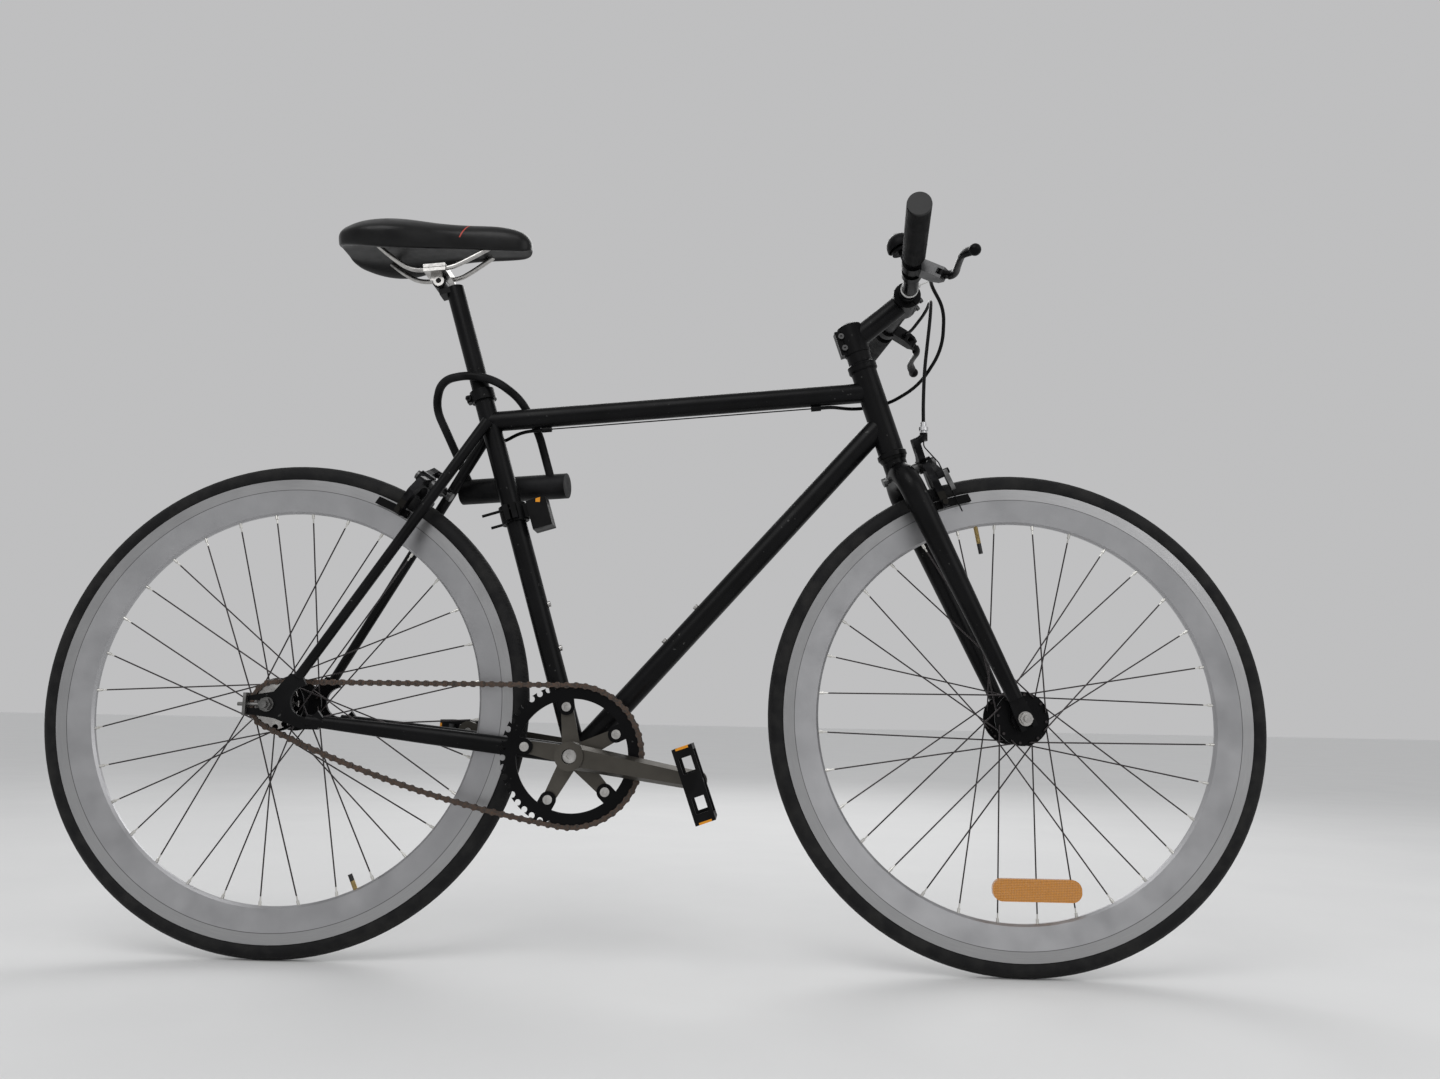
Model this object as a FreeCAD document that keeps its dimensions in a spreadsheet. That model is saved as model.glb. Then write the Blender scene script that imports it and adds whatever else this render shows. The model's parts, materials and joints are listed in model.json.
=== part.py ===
import FreeCAD, Part
import math
import os

import Sketcher

V = FreeCAD.Vector
Placement = FreeCAD.Placement
Rotation = FreeCAD.Rotation
X_AXIS = V(1, 0, 0)
Y_AXIS = V(0, 1, 0)
Z_AXIS = V(0, 0, 1)

doc = FreeCAD.newDocument("fixed_gear_bike")
sheet = doc.addObject("Spreadsheet::Sheet", "Sizes")

# Driving dimensions in millimetres and degrees
SIZES = {
    "wheelbase": 1005,
    "tyre_radius": 338,
    "tyre_width": 26,
    "tyre_casing": 2.2,
    "tyre_bead_depth": 9,
    "inner_tube_wall": 0.9,
    "rim_outer_radius": 317,
    "rim_width": 23,
    "rim_depth": 48,
    "rim_wall": 1.6,
    "rim_hook_height": 9.4,
    "brake_track_height": 15,
    "rim_nose_width": 10,
    "rim_nose_round": 3,
    "spoke_count": 32,
    "spoke_crosses": 3,
    "spoke_diameter": 2,
    "spoke_bend_radius": 2.2,
    "outside_spoke_room": 2.4,
    "spoke_hole_circle": 64,
    "spoke_hole_clearance": 0.15,
    "nipple_diameter": 4,
    "nipple_length": 12,
    "valve_diameter": 6,
    "front_valve_length": 38,
    "rear_valve_length": 21,
    "front_valve_angle": 100.5,
    "rear_valve_angle": -65.1,
    "hub_flange_radius": 36,
    "hub_flange_thickness": 3,
    "hub_barrel_radius": 13,
    "hub_end_radius": 16,
    "front_flange_offset": 35,
    "rear_flange_offset": 31,
    "hub_end_gap": 4.5,
    "bearing_radius": 12.5,
    "bearing_width": 7,
    "journal_radius": 7.5,
    "locknut_radius": 9,
    "locknut_width": 4,
    "running_clearance": 0.05,
    "fit_gap": 0.3,
    "front_axle_radius": 4.5,
    "rear_axle_radius": 5,
    "front_dropout_gap": 100,
    "rear_dropout_gap": 120,
    "axle_nut_size": 15,
    "axle_nut_height": 7,
    "axle_end_length": 5,
    "axle_neck_width": 1,
    "axle_neck_depth": 0.8,
    "axle_washer_radius": 9.5,
    "axle_washer_thickness": 1.5,
    "bottom_bracket_setback": 406.05,
    "bottom_bracket_drop": 60,
    "shell_radius": 20,
    "shell_width": 68,
    "shell_wall": 3,
    "seat_angle": 72.83,
    "head_angle": 72.08,
    "fork_rake": 44.6,
    "seat_tube_length": 538,
    "seat_tube_diameter": 28.6,
    "top_tube_diameter": 28.6,
    "down_tube_diameter": 31.8,
    "tube_wall": 1.1,
    "head_tube_diameter": 37,
    "head_tube_wall": 1.6,
    "head_tube_length": 125,
    "top_tube_height": 490,
    "top_tube_drop": 31.6,
    "down_tube_rise": 44.5,
    "post_diameter": 26.4,
    "chainstay_width": 17,
    "chainstay_height": 24,
    "chainstay_end_size": 15,
    "chainstay_root_offset": 21,
    "chainstay_bend_offset": 28,
    "chainstay_bend_distance": 130,
    "seatstay_top_diameter": 16,
    "seatstay_end_diameter": 13,
    "seatstay_top_height": 487,
    "seatstay_top_offset": 17,
    "stay_wall": 1.1,
    "bridge_diameter": 12,
    "bridge_distance": 364,
    "rear_plate_thickness": 6,
    "fork_plate_thickness": 5,
    "dropout_slot_clearance": 0.2,
    "crown_height": 368,
    "crown_tube_diameter": 34,
    "crown_bend_radius": 34,
    "crown_leg_length": 45,
    "crown_leg_offset": 46,
    "blade_end_diameter": 20,
    "blade_wall": 1.4,
    "steerer_diameter": 28.6,
    "steerer_wall": 1.6,
    "crown_to_race": 23,
    "headset_stack": 13,
    "headset_radius": 21,
    "headset_skirt": 10,
    "headset_gap": 0.4,
    "spacer_height": 5,
    "spacer_count": 3,
    "spacer_wall": 3.5,
    "stem_clamp_height": 41,
    "stem_clamp_diameter": 37,
    "stem_length": 98,
    "stem_rise": 22,
    "stem_tube_diameter": 30,
    "stem_face_width": 44,
    "stem_face_diameter": 39,
    "stem_split": 1.5,
    "bar_diameter": 22.2,
    "bar_clamp_diameter": 25.4,
    "bar_clamp_width": 70,
    "bar_wall": 2,
    "bar_half_width": 280,
    "bar_straight": 50,
    "bar_back_sweep": 24,
    "bar_rise": 9,
    "bar_bend_radius": 120,
    "grip_length": 132,
    "grip_diameter": 31,
    "grip_end_thickness": 4,
    "lever_distance": 156,
    "right_lever_angle": -26,
    "left_lever_angle": -30,
    "lever_reach": 42,
    "lever_length": 92,
    "lever_pin_radius": 3,
    "lever_slot_room": 1.5,
    "lever_root_radius": 7,
    "lever_root_height": 8,
    "lever_blade_half_height": 7.5,
    "lever_blade_half_thickness": 4.4,
    "lever_tip_radius": 7.7,
    "bell_distance": 184,
    "bell_radius": 19,
    "bell_height": 21,
    "bell_wall": 1.6,
    "chain_pitch": 12.7,
    "roller_radius": 3.9,
    "chain_inner_width": 3.3,
    "chain_plate_thickness": 1,
    "chain_plate_height": 8.4,
    "chain_pin_radius": 1.8,
    "chain_pin_gap": 0.05,
    "chainline": 43,
    "ring_teeth": 46,
    "sprocket_teeth": 15,
    "tooth_height": 3,
    "tooth_clearance": 0.2,
    "ring_thickness": 2.8,
    "ring_inner_radius": 75,
    "bolt_circle": 130,
    "ring_bolt_radius": 4.8,
    "crank_length": 170,
    "crank_angle": -9.4,
    "crank_boss_radius": 19,
    "crank_boss_width": 34,
    "crank_eye_radius": 14,
    "crank_eye_thickness": 13,
    "crank_offset": 75,
    "spider_thickness": 4.5,
    "spindle_radius": 8.5,
    "pedal_axle_radius": 4.6,
    "pedal_length": 96,
    "pedal_thickness": 26,
    "pedal_width": 66,
    "pedal_gap": 12,
    "right_pedal_tilt": 70.4,
    "left_pedal_tilt": 3,
    "pedal_plate": 4,
    "pedal_barrel_radius": 11,
    "reflector_length": 117,
    "reflector_height": 29,
    "reflector_thickness": 8,
    "reflector_drop": 223.4,
    "reflector_forward": 19.5,
    "front_brake_spacer": 13,
    "rear_brake_spacer": 16,
    "brake_bolt_radius": 4,
    "brake_arm_thickness": 10,
    "shoe_length": 48,
    "shoe_height": 11,
    "shoe_thickness": 8,
    "shoe_gap": 2,
    "housing_radius": 2.5,
    "wire_radius": 0.9,
    "bottle_bolt_spacing": 64,
    "bottle_bolt_radius": 2.5,
    "down_bottle_height": 195,
    "seat_bottle_height": 147,
    "collar_height": 16,
    "collar_wall": 3.6,
    "post_insertion": 110,
    "post_exposed": 164,
    "post_wall": 2.4,
    "saddle_setback": 22,
    "saddle_pin_radius": 4,
    "rail_diameter": 7,
    "rail_spacing": 44,
    "shackle_diameter": 12,
    "crossbar_diameter": 37,
    "bracket_height": 336,
    "bracket_width": 26,
    "bracket_wall": 5,
}

for row, (alias, number) in enumerate(SIZES.items(), start=1):
    sheet.set(f"A{row}", alias)
    sheet.set(f"B{row}", str(number))
    sheet.setAlias(f"B{row}", alias)
doc.recompute()


def size(alias):
    """The number in one cell of the sheet."""
    return float(sheet.get(alias))


def value(expression):
    """The number that an expression over the sheet gives."""
    return float(sheet.evalExpression(expression))


# Helpers that make document objects
nodes = []


def node(thing, label):
    """Name a finished sub-part, which is written to a file of that name."""
    thing.Label = label
    nodes.append(thing)
    return thing


def along(point, direction):
    """A placement whose Z axis runs from a point in a direction."""
    return Placement(point, Rotation(Z_AXIS, direction))


def axes_placement(point, x_way, y_way):
    """A placement whose X and Y axes are two given directions."""
    z_way = x_way.cross(y_way)
    matrix = FreeCAD.Matrix(
        x_way.x, y_way.x, z_way.x, point.x,
        x_way.y, y_way.y, z_way.y, point.y,
        x_way.z, y_way.z, z_way.z, point.z,
        0, 0, 0, 1,
    )
    return Placement(matrix)


def feature(name, shape, placement=None):
    thing = doc.addObject("Part::Feature", name)
    thing.Shape = shape
    if placement is not None:
        thing.Placement = placement
    return thing


def cylinder(name, radius, height, placement):
    thing = doc.addObject("Part::Cylinder", name)
    thing.setExpression("Radius", radius)
    thing.setExpression("Height", height)
    thing.Placement = placement
    return thing


def rod_between(name, start, end, radius):
    thing = doc.addObject("Part::Cylinder", name)
    thing.setExpression("Radius", radius)
    thing.Height = (end - start).Length
    thing.Placement = along(start, end - start)
    return thing


def hexagon(name, across_flats, height, placement):
    thing = doc.addObject("Part::Prism", name)
    thing.Polygon = 6
    thing.setExpression("Circumradius", f"{across_flats} / sqrt(3)")
    thing.setExpression("Height", height)
    thing.Placement = placement
    return thing


def cut(name, base, *tools):
    thing = doc.addObject("Part::Cut", name)
    thing.Base = base
    thing.Tool = tools[0] if len(tools) == 1 else fuse(name + "_tools", *tools)
    return thing


def fuse(name, *members):
    thing = doc.addObject("Part::MultiFuse", name)
    thing.Shapes = list(members)
    return thing


def group(name, *members):
    thing = doc.addObject("Part::Compound", name)
    thing.Links = list(members)
    return thing


def sketched(body, name, role, loops):
    """A sketch of closed polygons whose corners are bound to expressions."""
    sketch = body.newObject("Sketcher::SketchObject", name)
    plane = next(f for f in body.Origin.OriginFeatures if f.Role == role)
    sketch.AttachmentSupport = [(plane, "")]
    sketch.MapMode = "FlatFace"
    for corners in loops:
        first = sketch.GeometryCount
        count = len(corners)
        points = [V(value(a), value(b), 0) for a, b in corners]
        for i, point in enumerate(points):
            sketch.addGeometry(Part.LineSegment(point, points[(i + 1) % count]), False)
        for i in range(count):
            following = first + (i + 1) % count
            sketch.addConstraint(Sketcher.Constraint("Coincident", first + i, 2, following, 1))
        for i, (a, b) in enumerate(corners):
            across = Sketcher.Constraint("DistanceX", -1, 1, first + i, 1, points[i].x)
            sketch.setExpression(f"Constraints[{sketch.addConstraint(across)}]", a)
            upward = Sketcher.Constraint("DistanceY", -1, 1, first + i, 1, points[i].y)
            sketch.setExpression(f"Constraints[{sketch.addConstraint(upward)}]", b)
    return sketch


def turned(name, loops, placement):
    """A turned piece: closed loops of (radius, height) corners, revolved about its own Z axis."""
    body = doc.addObject("PartDesign::Body", name)
    profile = sketched(body, name + "_profile", "XZ_Plane", loops)
    turn = body.newObject("PartDesign::Revolution", name + "_turn")
    turn.Profile = profile
    turn.ReferenceAxis = (profile, ["V_Axis"])
    turn.Angle = 360
    body.Placement = placement
    return body


def ring(name, inner, outer, low, high, placement):
    """A plain ring between two radii and two heights."""
    corners = [(inner, low), (outer, low), (outer, high), (inner, high)]
    return turned(name, [corners], placement)


# Helpers that make shapes
def rounded_path(points, radius=None):
    """Straight runs joined by tangent arcs, as large as the runs allow unless a radius is given."""
    edges = []
    radii = []
    start = points[0]
    for before, corner, after in zip(points, points[1:], points[2:]):
        inward = (corner - before).normalize()
        outward = (after - corner).normalize()
        half_turn = inward.getAngle(outward) / 2
        shorter = min((corner - before).Length, (after - corner).Length)
        bend = radius if radius else 0.45 * shorter / math.tan(half_turn)
        reach = bend * math.tan(half_turn)
        centre = corner + (outward - inward).normalize() * (bend / math.cos(half_turn))
        first = corner - inward * reach
        last = corner + outward * reach
        middle = centre + (corner - centre).normalize() * bend
        edges.append(Part.LineSegment(start, first).toShape())
        edges.append(Part.Arc(first, middle, last).toShape())
        radii.append(round(bend, 1))
        start = last
    edges.append(Part.LineSegment(start, points[-1]).toShape())
    return Part.Wire(edges), radii


def swept(points, radius, bend=None, name=None):
    """A round bar along a path, compared with its section times its length."""
    path, radii = rounded_path(points, bend)
    circle = Part.Circle(points[0], points[1] - points[0], radius)
    solid = path.makePipeShell([Part.Wire(circle.toShape())], True, False)
    expected = math.pi * radius ** 2 * path.Length
    if abs(solid.Volume - expected) > 0.01 * expected:
        raise ValueError(f"a swept bar has volume {solid.Volume:.0f}, not {expected:.0f}")
    if name:
        print(name, "length", round(path.Length), "bend radii", radii)
    return solid


def bar_shape(start, end, radius):
    return Part.makeCylinder(radius, (end - start).Length, start, end - start)


def plate_shape(outline, thickness, normal):
    """A plate from an outline of points, thickened along a normal."""
    return Part.Face(Part.makePolygon(outline + outline[:1])).extrude(normal * thickness)


def box_shape(placement, low, high):
    """A box between two corners of a placement's own axes."""
    block = Part.makeBox(high.x - low.x, high.y - low.y, high.z - low.z, low)
    block.Placement = placement.multiply(block.Placement)
    return block


def rounded_bar(points, width, thickness, normal):
    """A flat bar of constant width with round ends, laid along points in a plane."""
    half = normal * (thickness / 2)
    pieces = []
    for point in points:
        pieces.append(Part.makeCylinder(width / 2, thickness, point - half, normal))
    for first, last in zip(points, points[1:]):
        side = normal.cross(last - first).normalize() * (width / 2)
        outline = [first + side - half, last + side - half, last - side - half, first - side - half]
        pieces.append(plate_shape(outline, thickness, normal))
    return pieces[0].multiFuse(pieces[1:]).removeSplitter()


def mirrored(shape):
    """The same shape on the bike's other side."""
    return shape.mirror(V(0, 0, 0), Y_AXIS)


# Skeleton of the bike: origin on the ground midway between the axles, +X forward, +Y to the rider's left
HALF_BASE = size("wheelbase") / 2
REAR_HUB = V(-HALF_BASE, 0, size("tyre_radius"))
FRONT_HUB = V(HALF_BASE, 0, size("tyre_radius"))
BRACKET = REAR_HUB + V(size("bottom_bracket_setback"), 0, -size("bottom_bracket_drop"))
SEAT_TILT = math.radians(size("seat_angle"))
HEAD_TILT = math.radians(size("head_angle"))
SEAT_UP = V(-math.cos(SEAT_TILT), 0, math.sin(SEAT_TILT))
SEAT_FORWARD = V(math.sin(SEAT_TILT), 0, math.cos(SEAT_TILT))
HEAD_UP = V(-math.cos(HEAD_TILT), 0, math.sin(HEAD_TILT))
HEAD_FORWARD = V(math.sin(HEAD_TILT), 0, math.cos(HEAD_TILT))
STEER_FOOT = FRONT_HUB - HEAD_FORWARD * size("fork_rake")


def seat_point(distance):
    """A point on the seat tube's axis, up from the bottom bracket."""
    return BRACKET + SEAT_UP * distance


def head_point(distance):
    """A point on the steering axis, up from the foot nearest the front axle."""
    return STEER_FOOT + HEAD_UP * distance


CROWN = head_point(size("crown_height"))
RACE_LEVEL = size("crown_height") + size("crown_to_race")
HEAD_BOTTOM = RACE_LEVEL + size("headset_stack")
HEAD_TOP = HEAD_BOTTOM + size("head_tube_length")
COVER_TOP = HEAD_TOP + size("headset_stack")
STEM_BOTTOM = COVER_TOP + size("spacer_height") * size("spacer_count")
STEM_TOP = STEM_BOTTOM + size("stem_clamp_height")
HEAD_JOINT_TOP = head_point(HEAD_TOP - size("top_tube_drop"))
HEAD_JOINT_LOW = head_point(HEAD_BOTTOM + size("down_tube_rise"))
SEAT_JOINT = seat_point(size("top_tube_height"))
SEAT_TOP = seat_point(size("seat_tube_length"))
TOP_WAY = (HEAD_JOINT_TOP - SEAT_JOINT).normalize()
DOWN_WAY = (HEAD_JOINT_LOW - BRACKET).normalize()
TOP_UNDER = TOP_WAY.cross(Y_AXIS) * -1
if TOP_UNDER.z > 0:
    TOP_UNDER = TOP_UNDER * -1
AXLE_WAY = Rotation(Z_AXIS, Y_AXIS)


# Main tubes, mitred against each other
shell_outside = cylinder(
    "shell_outside", "Sizes.shell_radius", "Sizes.shell_width",
    Placement(BRACKET - Y_AXIS * (size("shell_width") / 2), AXLE_WAY),
)
seat_outside = rod_between("seat_outside", BRACKET, SEAT_TOP, "Sizes.seat_tube_diameter / 2")
head_outside = rod_between(
    "head_outside", head_point(HEAD_BOTTOM), head_point(HEAD_TOP), "Sizes.head_tube_diameter / 2"
)
top_outside = rod_between("top_outside", SEAT_JOINT, HEAD_JOINT_TOP, "Sizes.top_tube_diameter / 2")
down_outside = rod_between("down_outside", BRACKET, HEAD_JOINT_LOW, "Sizes.down_tube_diameter / 2")


def bolt_holes(name, places):
    """Tapped holes for bottle bolts, as (point on the tube's axis, direction out of the tube)."""
    shapes = []
    for point, outward in places:
        shapes.append(bar_shape(point, point + outward * size("shell_width"), size("bottle_bolt_radius")))
    return feature(name, Part.makeCompound(shapes))


DOWN_FRONT = DOWN_WAY.cross(Y_AXIS)
if DOWN_FRONT.z < 0:
    DOWN_FRONT = DOWN_FRONT * -1
DOWN_BOLTS = [
    (BRACKET + DOWN_WAY * (size("down_bottle_height") + step), DOWN_FRONT)
    for step in (0, size("bottle_bolt_spacing"))
]
SEAT_BOLTS = [
    (seat_point(size("seat_bottle_height") + step), SEAT_FORWARD)
    for step in (0, size("bottle_bolt_spacing"))
]

head_bore = rod_between(
    "head_bore", head_point(HEAD_BOTTOM), head_point(HEAD_TOP),
    "Sizes.head_tube_diameter / 2 - Sizes.head_tube_wall",
)
node(cut("head_tube", head_outside, head_bore), "head_tube")

seat_bore = rod_between(
    "seat_bore", BRACKET, SEAT_TOP, "Sizes.post_diameter / 2 + Sizes.running_clearance"
)
node(
    cut("seat_tube", seat_outside, seat_bore, shell_outside, bolt_holes("seat_tube_holes", SEAT_BOLTS)),
    "seat_tube",
)

down_bore = rod_between(
    "down_bore", BRACKET, HEAD_JOINT_LOW, "Sizes.down_tube_diameter / 2 - Sizes.tube_wall"
)
node(
    cut(
        "down_tube", down_outside, down_bore, shell_outside, seat_outside, head_outside,
        bolt_holes("down_tube_holes", DOWN_BOLTS),
    ),
    "down_tube",
)

# Top tube with its two cable guides on the underside
FRONT_GUIDE = 470
REAR_GUIDE = 82
GUIDE_LENGTH = 14
GUIDE_RADIUS = 4.2


def guide_centre(distance):
    """The middle of a cable guide, along the top tube from the seat tube's axis."""
    return SEAT_JOINT + TOP_WAY * distance + TOP_UNDER * (size("top_tube_diameter") / 2 + GUIDE_RADIUS - 1)


def cable_guide(distance):
    centre = guide_centre(distance)
    half = TOP_WAY * (GUIDE_LENGTH / 2)
    outside = bar_shape(centre - half, centre + half, GUIDE_RADIUS)
    bore = bar_shape(centre - half, centre + half, size("housing_radius") + size("running_clearance"))
    return outside, bore


guide_shapes = [cable_guide(FRONT_GUIDE), cable_guide(REAR_GUIDE)]
guides = feature("guides", Part.makeCompound([outside for outside, _ in guide_shapes]))
guide_bores = feature("guide_bores", Part.makeCompound([bore for _, bore in guide_shapes]))
top_bore = rod_between(
    "top_bore", SEAT_JOINT, HEAD_JOINT_TOP, "Sizes.top_tube_diameter / 2 - Sizes.tube_wall"
)
top_with_guides = fuse("top_with_guides", top_outside, guides)
node(
    cut("top_tube", top_with_guides, top_bore, guide_bores, seat_outside, head_outside),
    "top_tube",
)

# Bottom bracket shell and the bearing unit inside it
ACROSS_BRACKET = Placement(BRACKET, AXLE_WAY)
node(
    ring(
        "bottom_bracket_shell", "Sizes.shell_radius - Sizes.shell_wall", "Sizes.shell_radius",
        "-Sizes.shell_width / 2", "Sizes.shell_width / 2", ACROSS_BRACKET,
    ),
    "bottom_bracket_shell",
)
CUP_FLANGE = 2
CUP_DEPTH = 16
cup_loops = []
for side in ("-1", "1"):
    outer_face = f"{side} * (Sizes.shell_width / 2 + {CUP_FLANGE})"
    shell_face = f"{side} * Sizes.shell_width / 2"
    inner_face = f"{side} * (Sizes.shell_width / 2 - {CUP_DEPTH})"
    bore = "Sizes.spindle_radius + Sizes.running_clearance"
    fit = "Sizes.shell_radius - Sizes.shell_wall"
    cup_loops.append([
        (bore, outer_face), ("Sizes.shell_radius - 1", outer_face), ("Sizes.shell_radius - 1", shell_face),
        (fit, shell_face), (fit, inner_face), (bore, inner_face),
    ])
unit_cups = [
    turned(f"bracket_cup_{side}", [loop], ACROSS_BRACKET) for side, loop in zip(("right", "left"), cup_loops)
]
unit_sleeve = ring(
    "bracket_sleeve", "Sizes.spindle_radius + 2", "Sizes.shell_radius - Sizes.shell_wall",
    f"-Sizes.shell_width / 2 + {CUP_DEPTH}", f"Sizes.shell_width / 2 - {CUP_DEPTH}", ACROSS_BRACKET,
)
node(group("bottom_bracket_unit", *unit_cups, unit_sleeve), "bottom_bracket_unit")

# Rear triangle: track-end plates, chainstays, seatstays and the brake bridge
PLATE_INSIDE = size("rear_dropout_gap") / 2
PLATE_MIDDLE = PLATE_INSIDE + size("rear_plate_thickness") / 2
PLATE_REAR = 26
STAY_JOIN_LOW = V(54, 0, -20)
STAY_JOIN_HIGH = V(38, 0, 36)
PLATE_WINDOW = V(52, 0, 5)
PLATE_WINDOW_RADIUS = 21


def track_end(side):
    """One slotted dropout plate on the left (1) or right (-1) of the rear wheel."""
    face = REAR_HUB + Y_AXIS * (side * PLATE_INSIDE)
    outline = [
        V(-PLATE_REAR, 0, 11), V(8, 0, 17), V(28, 0, 41), V(44, 0, 40), V(60, 0, 4),
        V(76, 0, -16), V(70, 0, -32), V(50, 0, -32), V(10, 0, -18), V(-PLATE_REAR, 0, -13),
    ]
    normal = Y_AXIS * side
    plate = plate_shape([face + point for point in outline], size("rear_plate_thickness"), normal)
    slot_radius = size("rear_axle_radius") + size("dropout_slot_clearance")
    round_end = Part.makeCylinder(slot_radius, size("rear_plate_thickness"), face, normal)
    slot_outline = [
        face + V(0, 0, slot_radius), face + V(0, 0, -slot_radius),
        face + V(-2 * PLATE_REAR, 0, -slot_radius), face + V(-2 * PLATE_REAR, 0, slot_radius),
    ]
    slot = plate_shape(slot_outline, size("rear_plate_thickness"), normal)
    window = Part.makeCylinder(
        PLATE_WINDOW_RADIUS, size("rear_plate_thickness"), face + PLATE_WINDOW, normal
    )
    return plate.cut([round_end, slot, window])


def ellipse_wire(centre, way, width, height):
    """An oval section square to a direction, wide across the bike and tall upwards."""
    across = (Y_AXIS - way * Y_AXIS.dot(way)).normalize()
    upward = way.cross(across)
    major, minor, long_way = height / 2, width / 2, upward
    if width > height:
        major, minor, long_way = width / 2, height / 2, across
    if major - minor < 0.01:
        return Part.Wire(Part.Circle(centre, way, major).toShape())
    tip = centre + long_way * major
    flank = centre + way.cross(long_way) * minor
    return Part.Wire(Part.Ellipse(tip, flank, centre).toShape())


def chainstay(side, shrink):
    """The stay's oval tube as a loft; shrink is the wall taken off for the inside."""
    root = BRACKET + Y_AXIS * (side * size("chainstay_root_offset"))
    end = REAR_HUB + STAY_JOIN_LOW + Y_AXIS * (side * PLATE_MIDDLE)
    backward = (REAR_HUB + STAY_JOIN_LOW - BRACKET).normalize()
    bend = BRACKET + backward * size("chainstay_bend_distance")
    bend = bend + Y_AXIS * (side * size("chainstay_bend_offset"))
    sections = []
    for point, width, height in (
        (root, size("chainstay_width"), size("chainstay_height")),
        (bend, size("chainstay_width"), size("chainstay_height")),
        (end, size("chainstay_end_size"), size("chainstay_end_size")),
    ):
        sections.append(ellipse_wire(point, backward, width - 2 * shrink, height - 2 * shrink + 0.02))
    return Part.makeLoft(sections, True)


def seatstay_ends(side):
    top = seat_point(size("seatstay_top_height")) + Y_AXIS * (side * size("seatstay_top_offset"))
    low = REAR_HUB + STAY_JOIN_HIGH + Y_AXIS * (side * PLATE_MIDDLE)
    return top, low


def seatstay(side, shrink):
    top, low = seatstay_ends(side)
    return Part.makeCone(
        size("seatstay_top_diameter") / 2 - shrink, size("seatstay_end_diameter") / 2 - shrink,
        (low - top).Length, top, low - top,
    )


def stay_at_distance(distance):
    """The middle of the seatstays, in the bike's mid plane, at a distance from the rear axle."""
    top = seat_point(size("seatstay_top_height"))
    low = REAR_HUB + STAY_JOIN_HIGH
    near, far = low, top
    for _ in range(60):
        middle = (near + far) * 0.5
        if (middle - REAR_HUB).Length < distance:
            near = middle
        else:
            far = middle
    return middle


BRIDGE = stay_at_distance(size("bridge_distance"))
BRIDGE_SHARE = (BRIDGE - seat_point(size("seatstay_top_height"))).Length / (
    REAR_HUB + STAY_JOIN_HIGH - seat_point(size("seatstay_top_height"))
).Length
BRIDGE_HALF = size("seatstay_top_offset") + BRIDGE_SHARE * (PLATE_MIDDLE - size("seatstay_top_offset"))
BRIDGE_UP = (BRIDGE - REAR_HUB).normalize()
BRIDGE_BACK = BRIDGE_UP.cross(Y_AXIS)
if BRIDGE_BACK.x > 0:
    BRIDGE_BACK = BRIDGE_BACK * -1


def rear_triangle_shape():
    seat_rod = bar_shape(BRACKET, SEAT_TOP, size("seat_tube_diameter") / 2)
    shell_rod = bar_shape(
        BRACKET - Y_AXIS * (size("shell_width") / 2), BRACKET + Y_AXIS * (size("shell_width") / 2),
        size("shell_radius"),
    )
    solids = []
    stays = []
    for side in (1, -1):
        plate = track_end(side)
        low_stay = chainstay(side, 0).cut([chainstay(side, size("stay_wall")), shell_rod, plate])
        high_stay = seatstay(side, 0).cut([seatstay(side, size("stay_wall")), seat_rod, plate])
        stays.append(seatstay(side, 0))
        solids.extend([plate, low_stay, high_stay])
    bridge = bar_shape(
        BRIDGE - Y_AXIS * BRIDGE_HALF, BRIDGE + Y_AXIS * BRIDGE_HALF, size("bridge_diameter") / 2
    )
    bolt_hole = bar_shape(
        BRIDGE - BRIDGE_BACK * size("bridge_diameter"), BRIDGE + BRIDGE_BACK * size("bridge_diameter"),
        size("brake_bolt_radius"),
    )
    solids.append(bridge.cut(stays + [bolt_hole]))
    parts = []
    for shape in solids:
        parts.append(max(shape.Solids, key=lambda solid: solid.Volume))
    return Part.makeCompound(parts)


rear_triangle = node(feature("rear_triangle", rear_triangle_shape()), "rear_triangle")

# Headset: cups with bearings in the head tube, race, cover, spacers and cap on the steerer
BEARING_HEIGHT = 6
RACE_HEIGHT = 4.6


def headset_cup(name, level, outward):
    """One cup with its bearing ring, seated on an end of the head tube."""
    seat = along(head_point(level), HEAD_UP * outward)
    skirt = "Sizes.head_tube_diameter / 2 - Sizes.head_tube_wall"
    height = f"Sizes.headset_stack - {RACE_HEIGHT} - Sizes.headset_gap"
    pocket = "Sizes.headset_radius - 2.5"
    steerer = "Sizes.steerer_diameter / 2"
    corners = [
        (f"{steerer} + 1.2", "-Sizes.headset_skirt"), (skirt, "-Sizes.headset_skirt"), (skirt, "0"),
        ("Sizes.headset_radius - 1.5", "0"), ("Sizes.headset_radius", "2"), ("Sizes.headset_radius", height),
        (pocket, height), (pocket, "1"), (f"{steerer} + 1.2", "1"),
    ]
    cup = turned(name, [corners], seat)
    bearing = ring(
        name + "_bearing", f"{steerer} + Sizes.running_clearance", pocket, "1", f"1 + {BEARING_HEIGHT}", seat
    )
    return [cup, bearing]


lower_cup = headset_cup("lower_cup", HEAD_BOTTOM, -1)
upper_cup = headset_cup("upper_cup", HEAD_TOP, 1)
node(group("headset_cups", *lower_cup, *upper_cup), "headset_cups")

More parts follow.
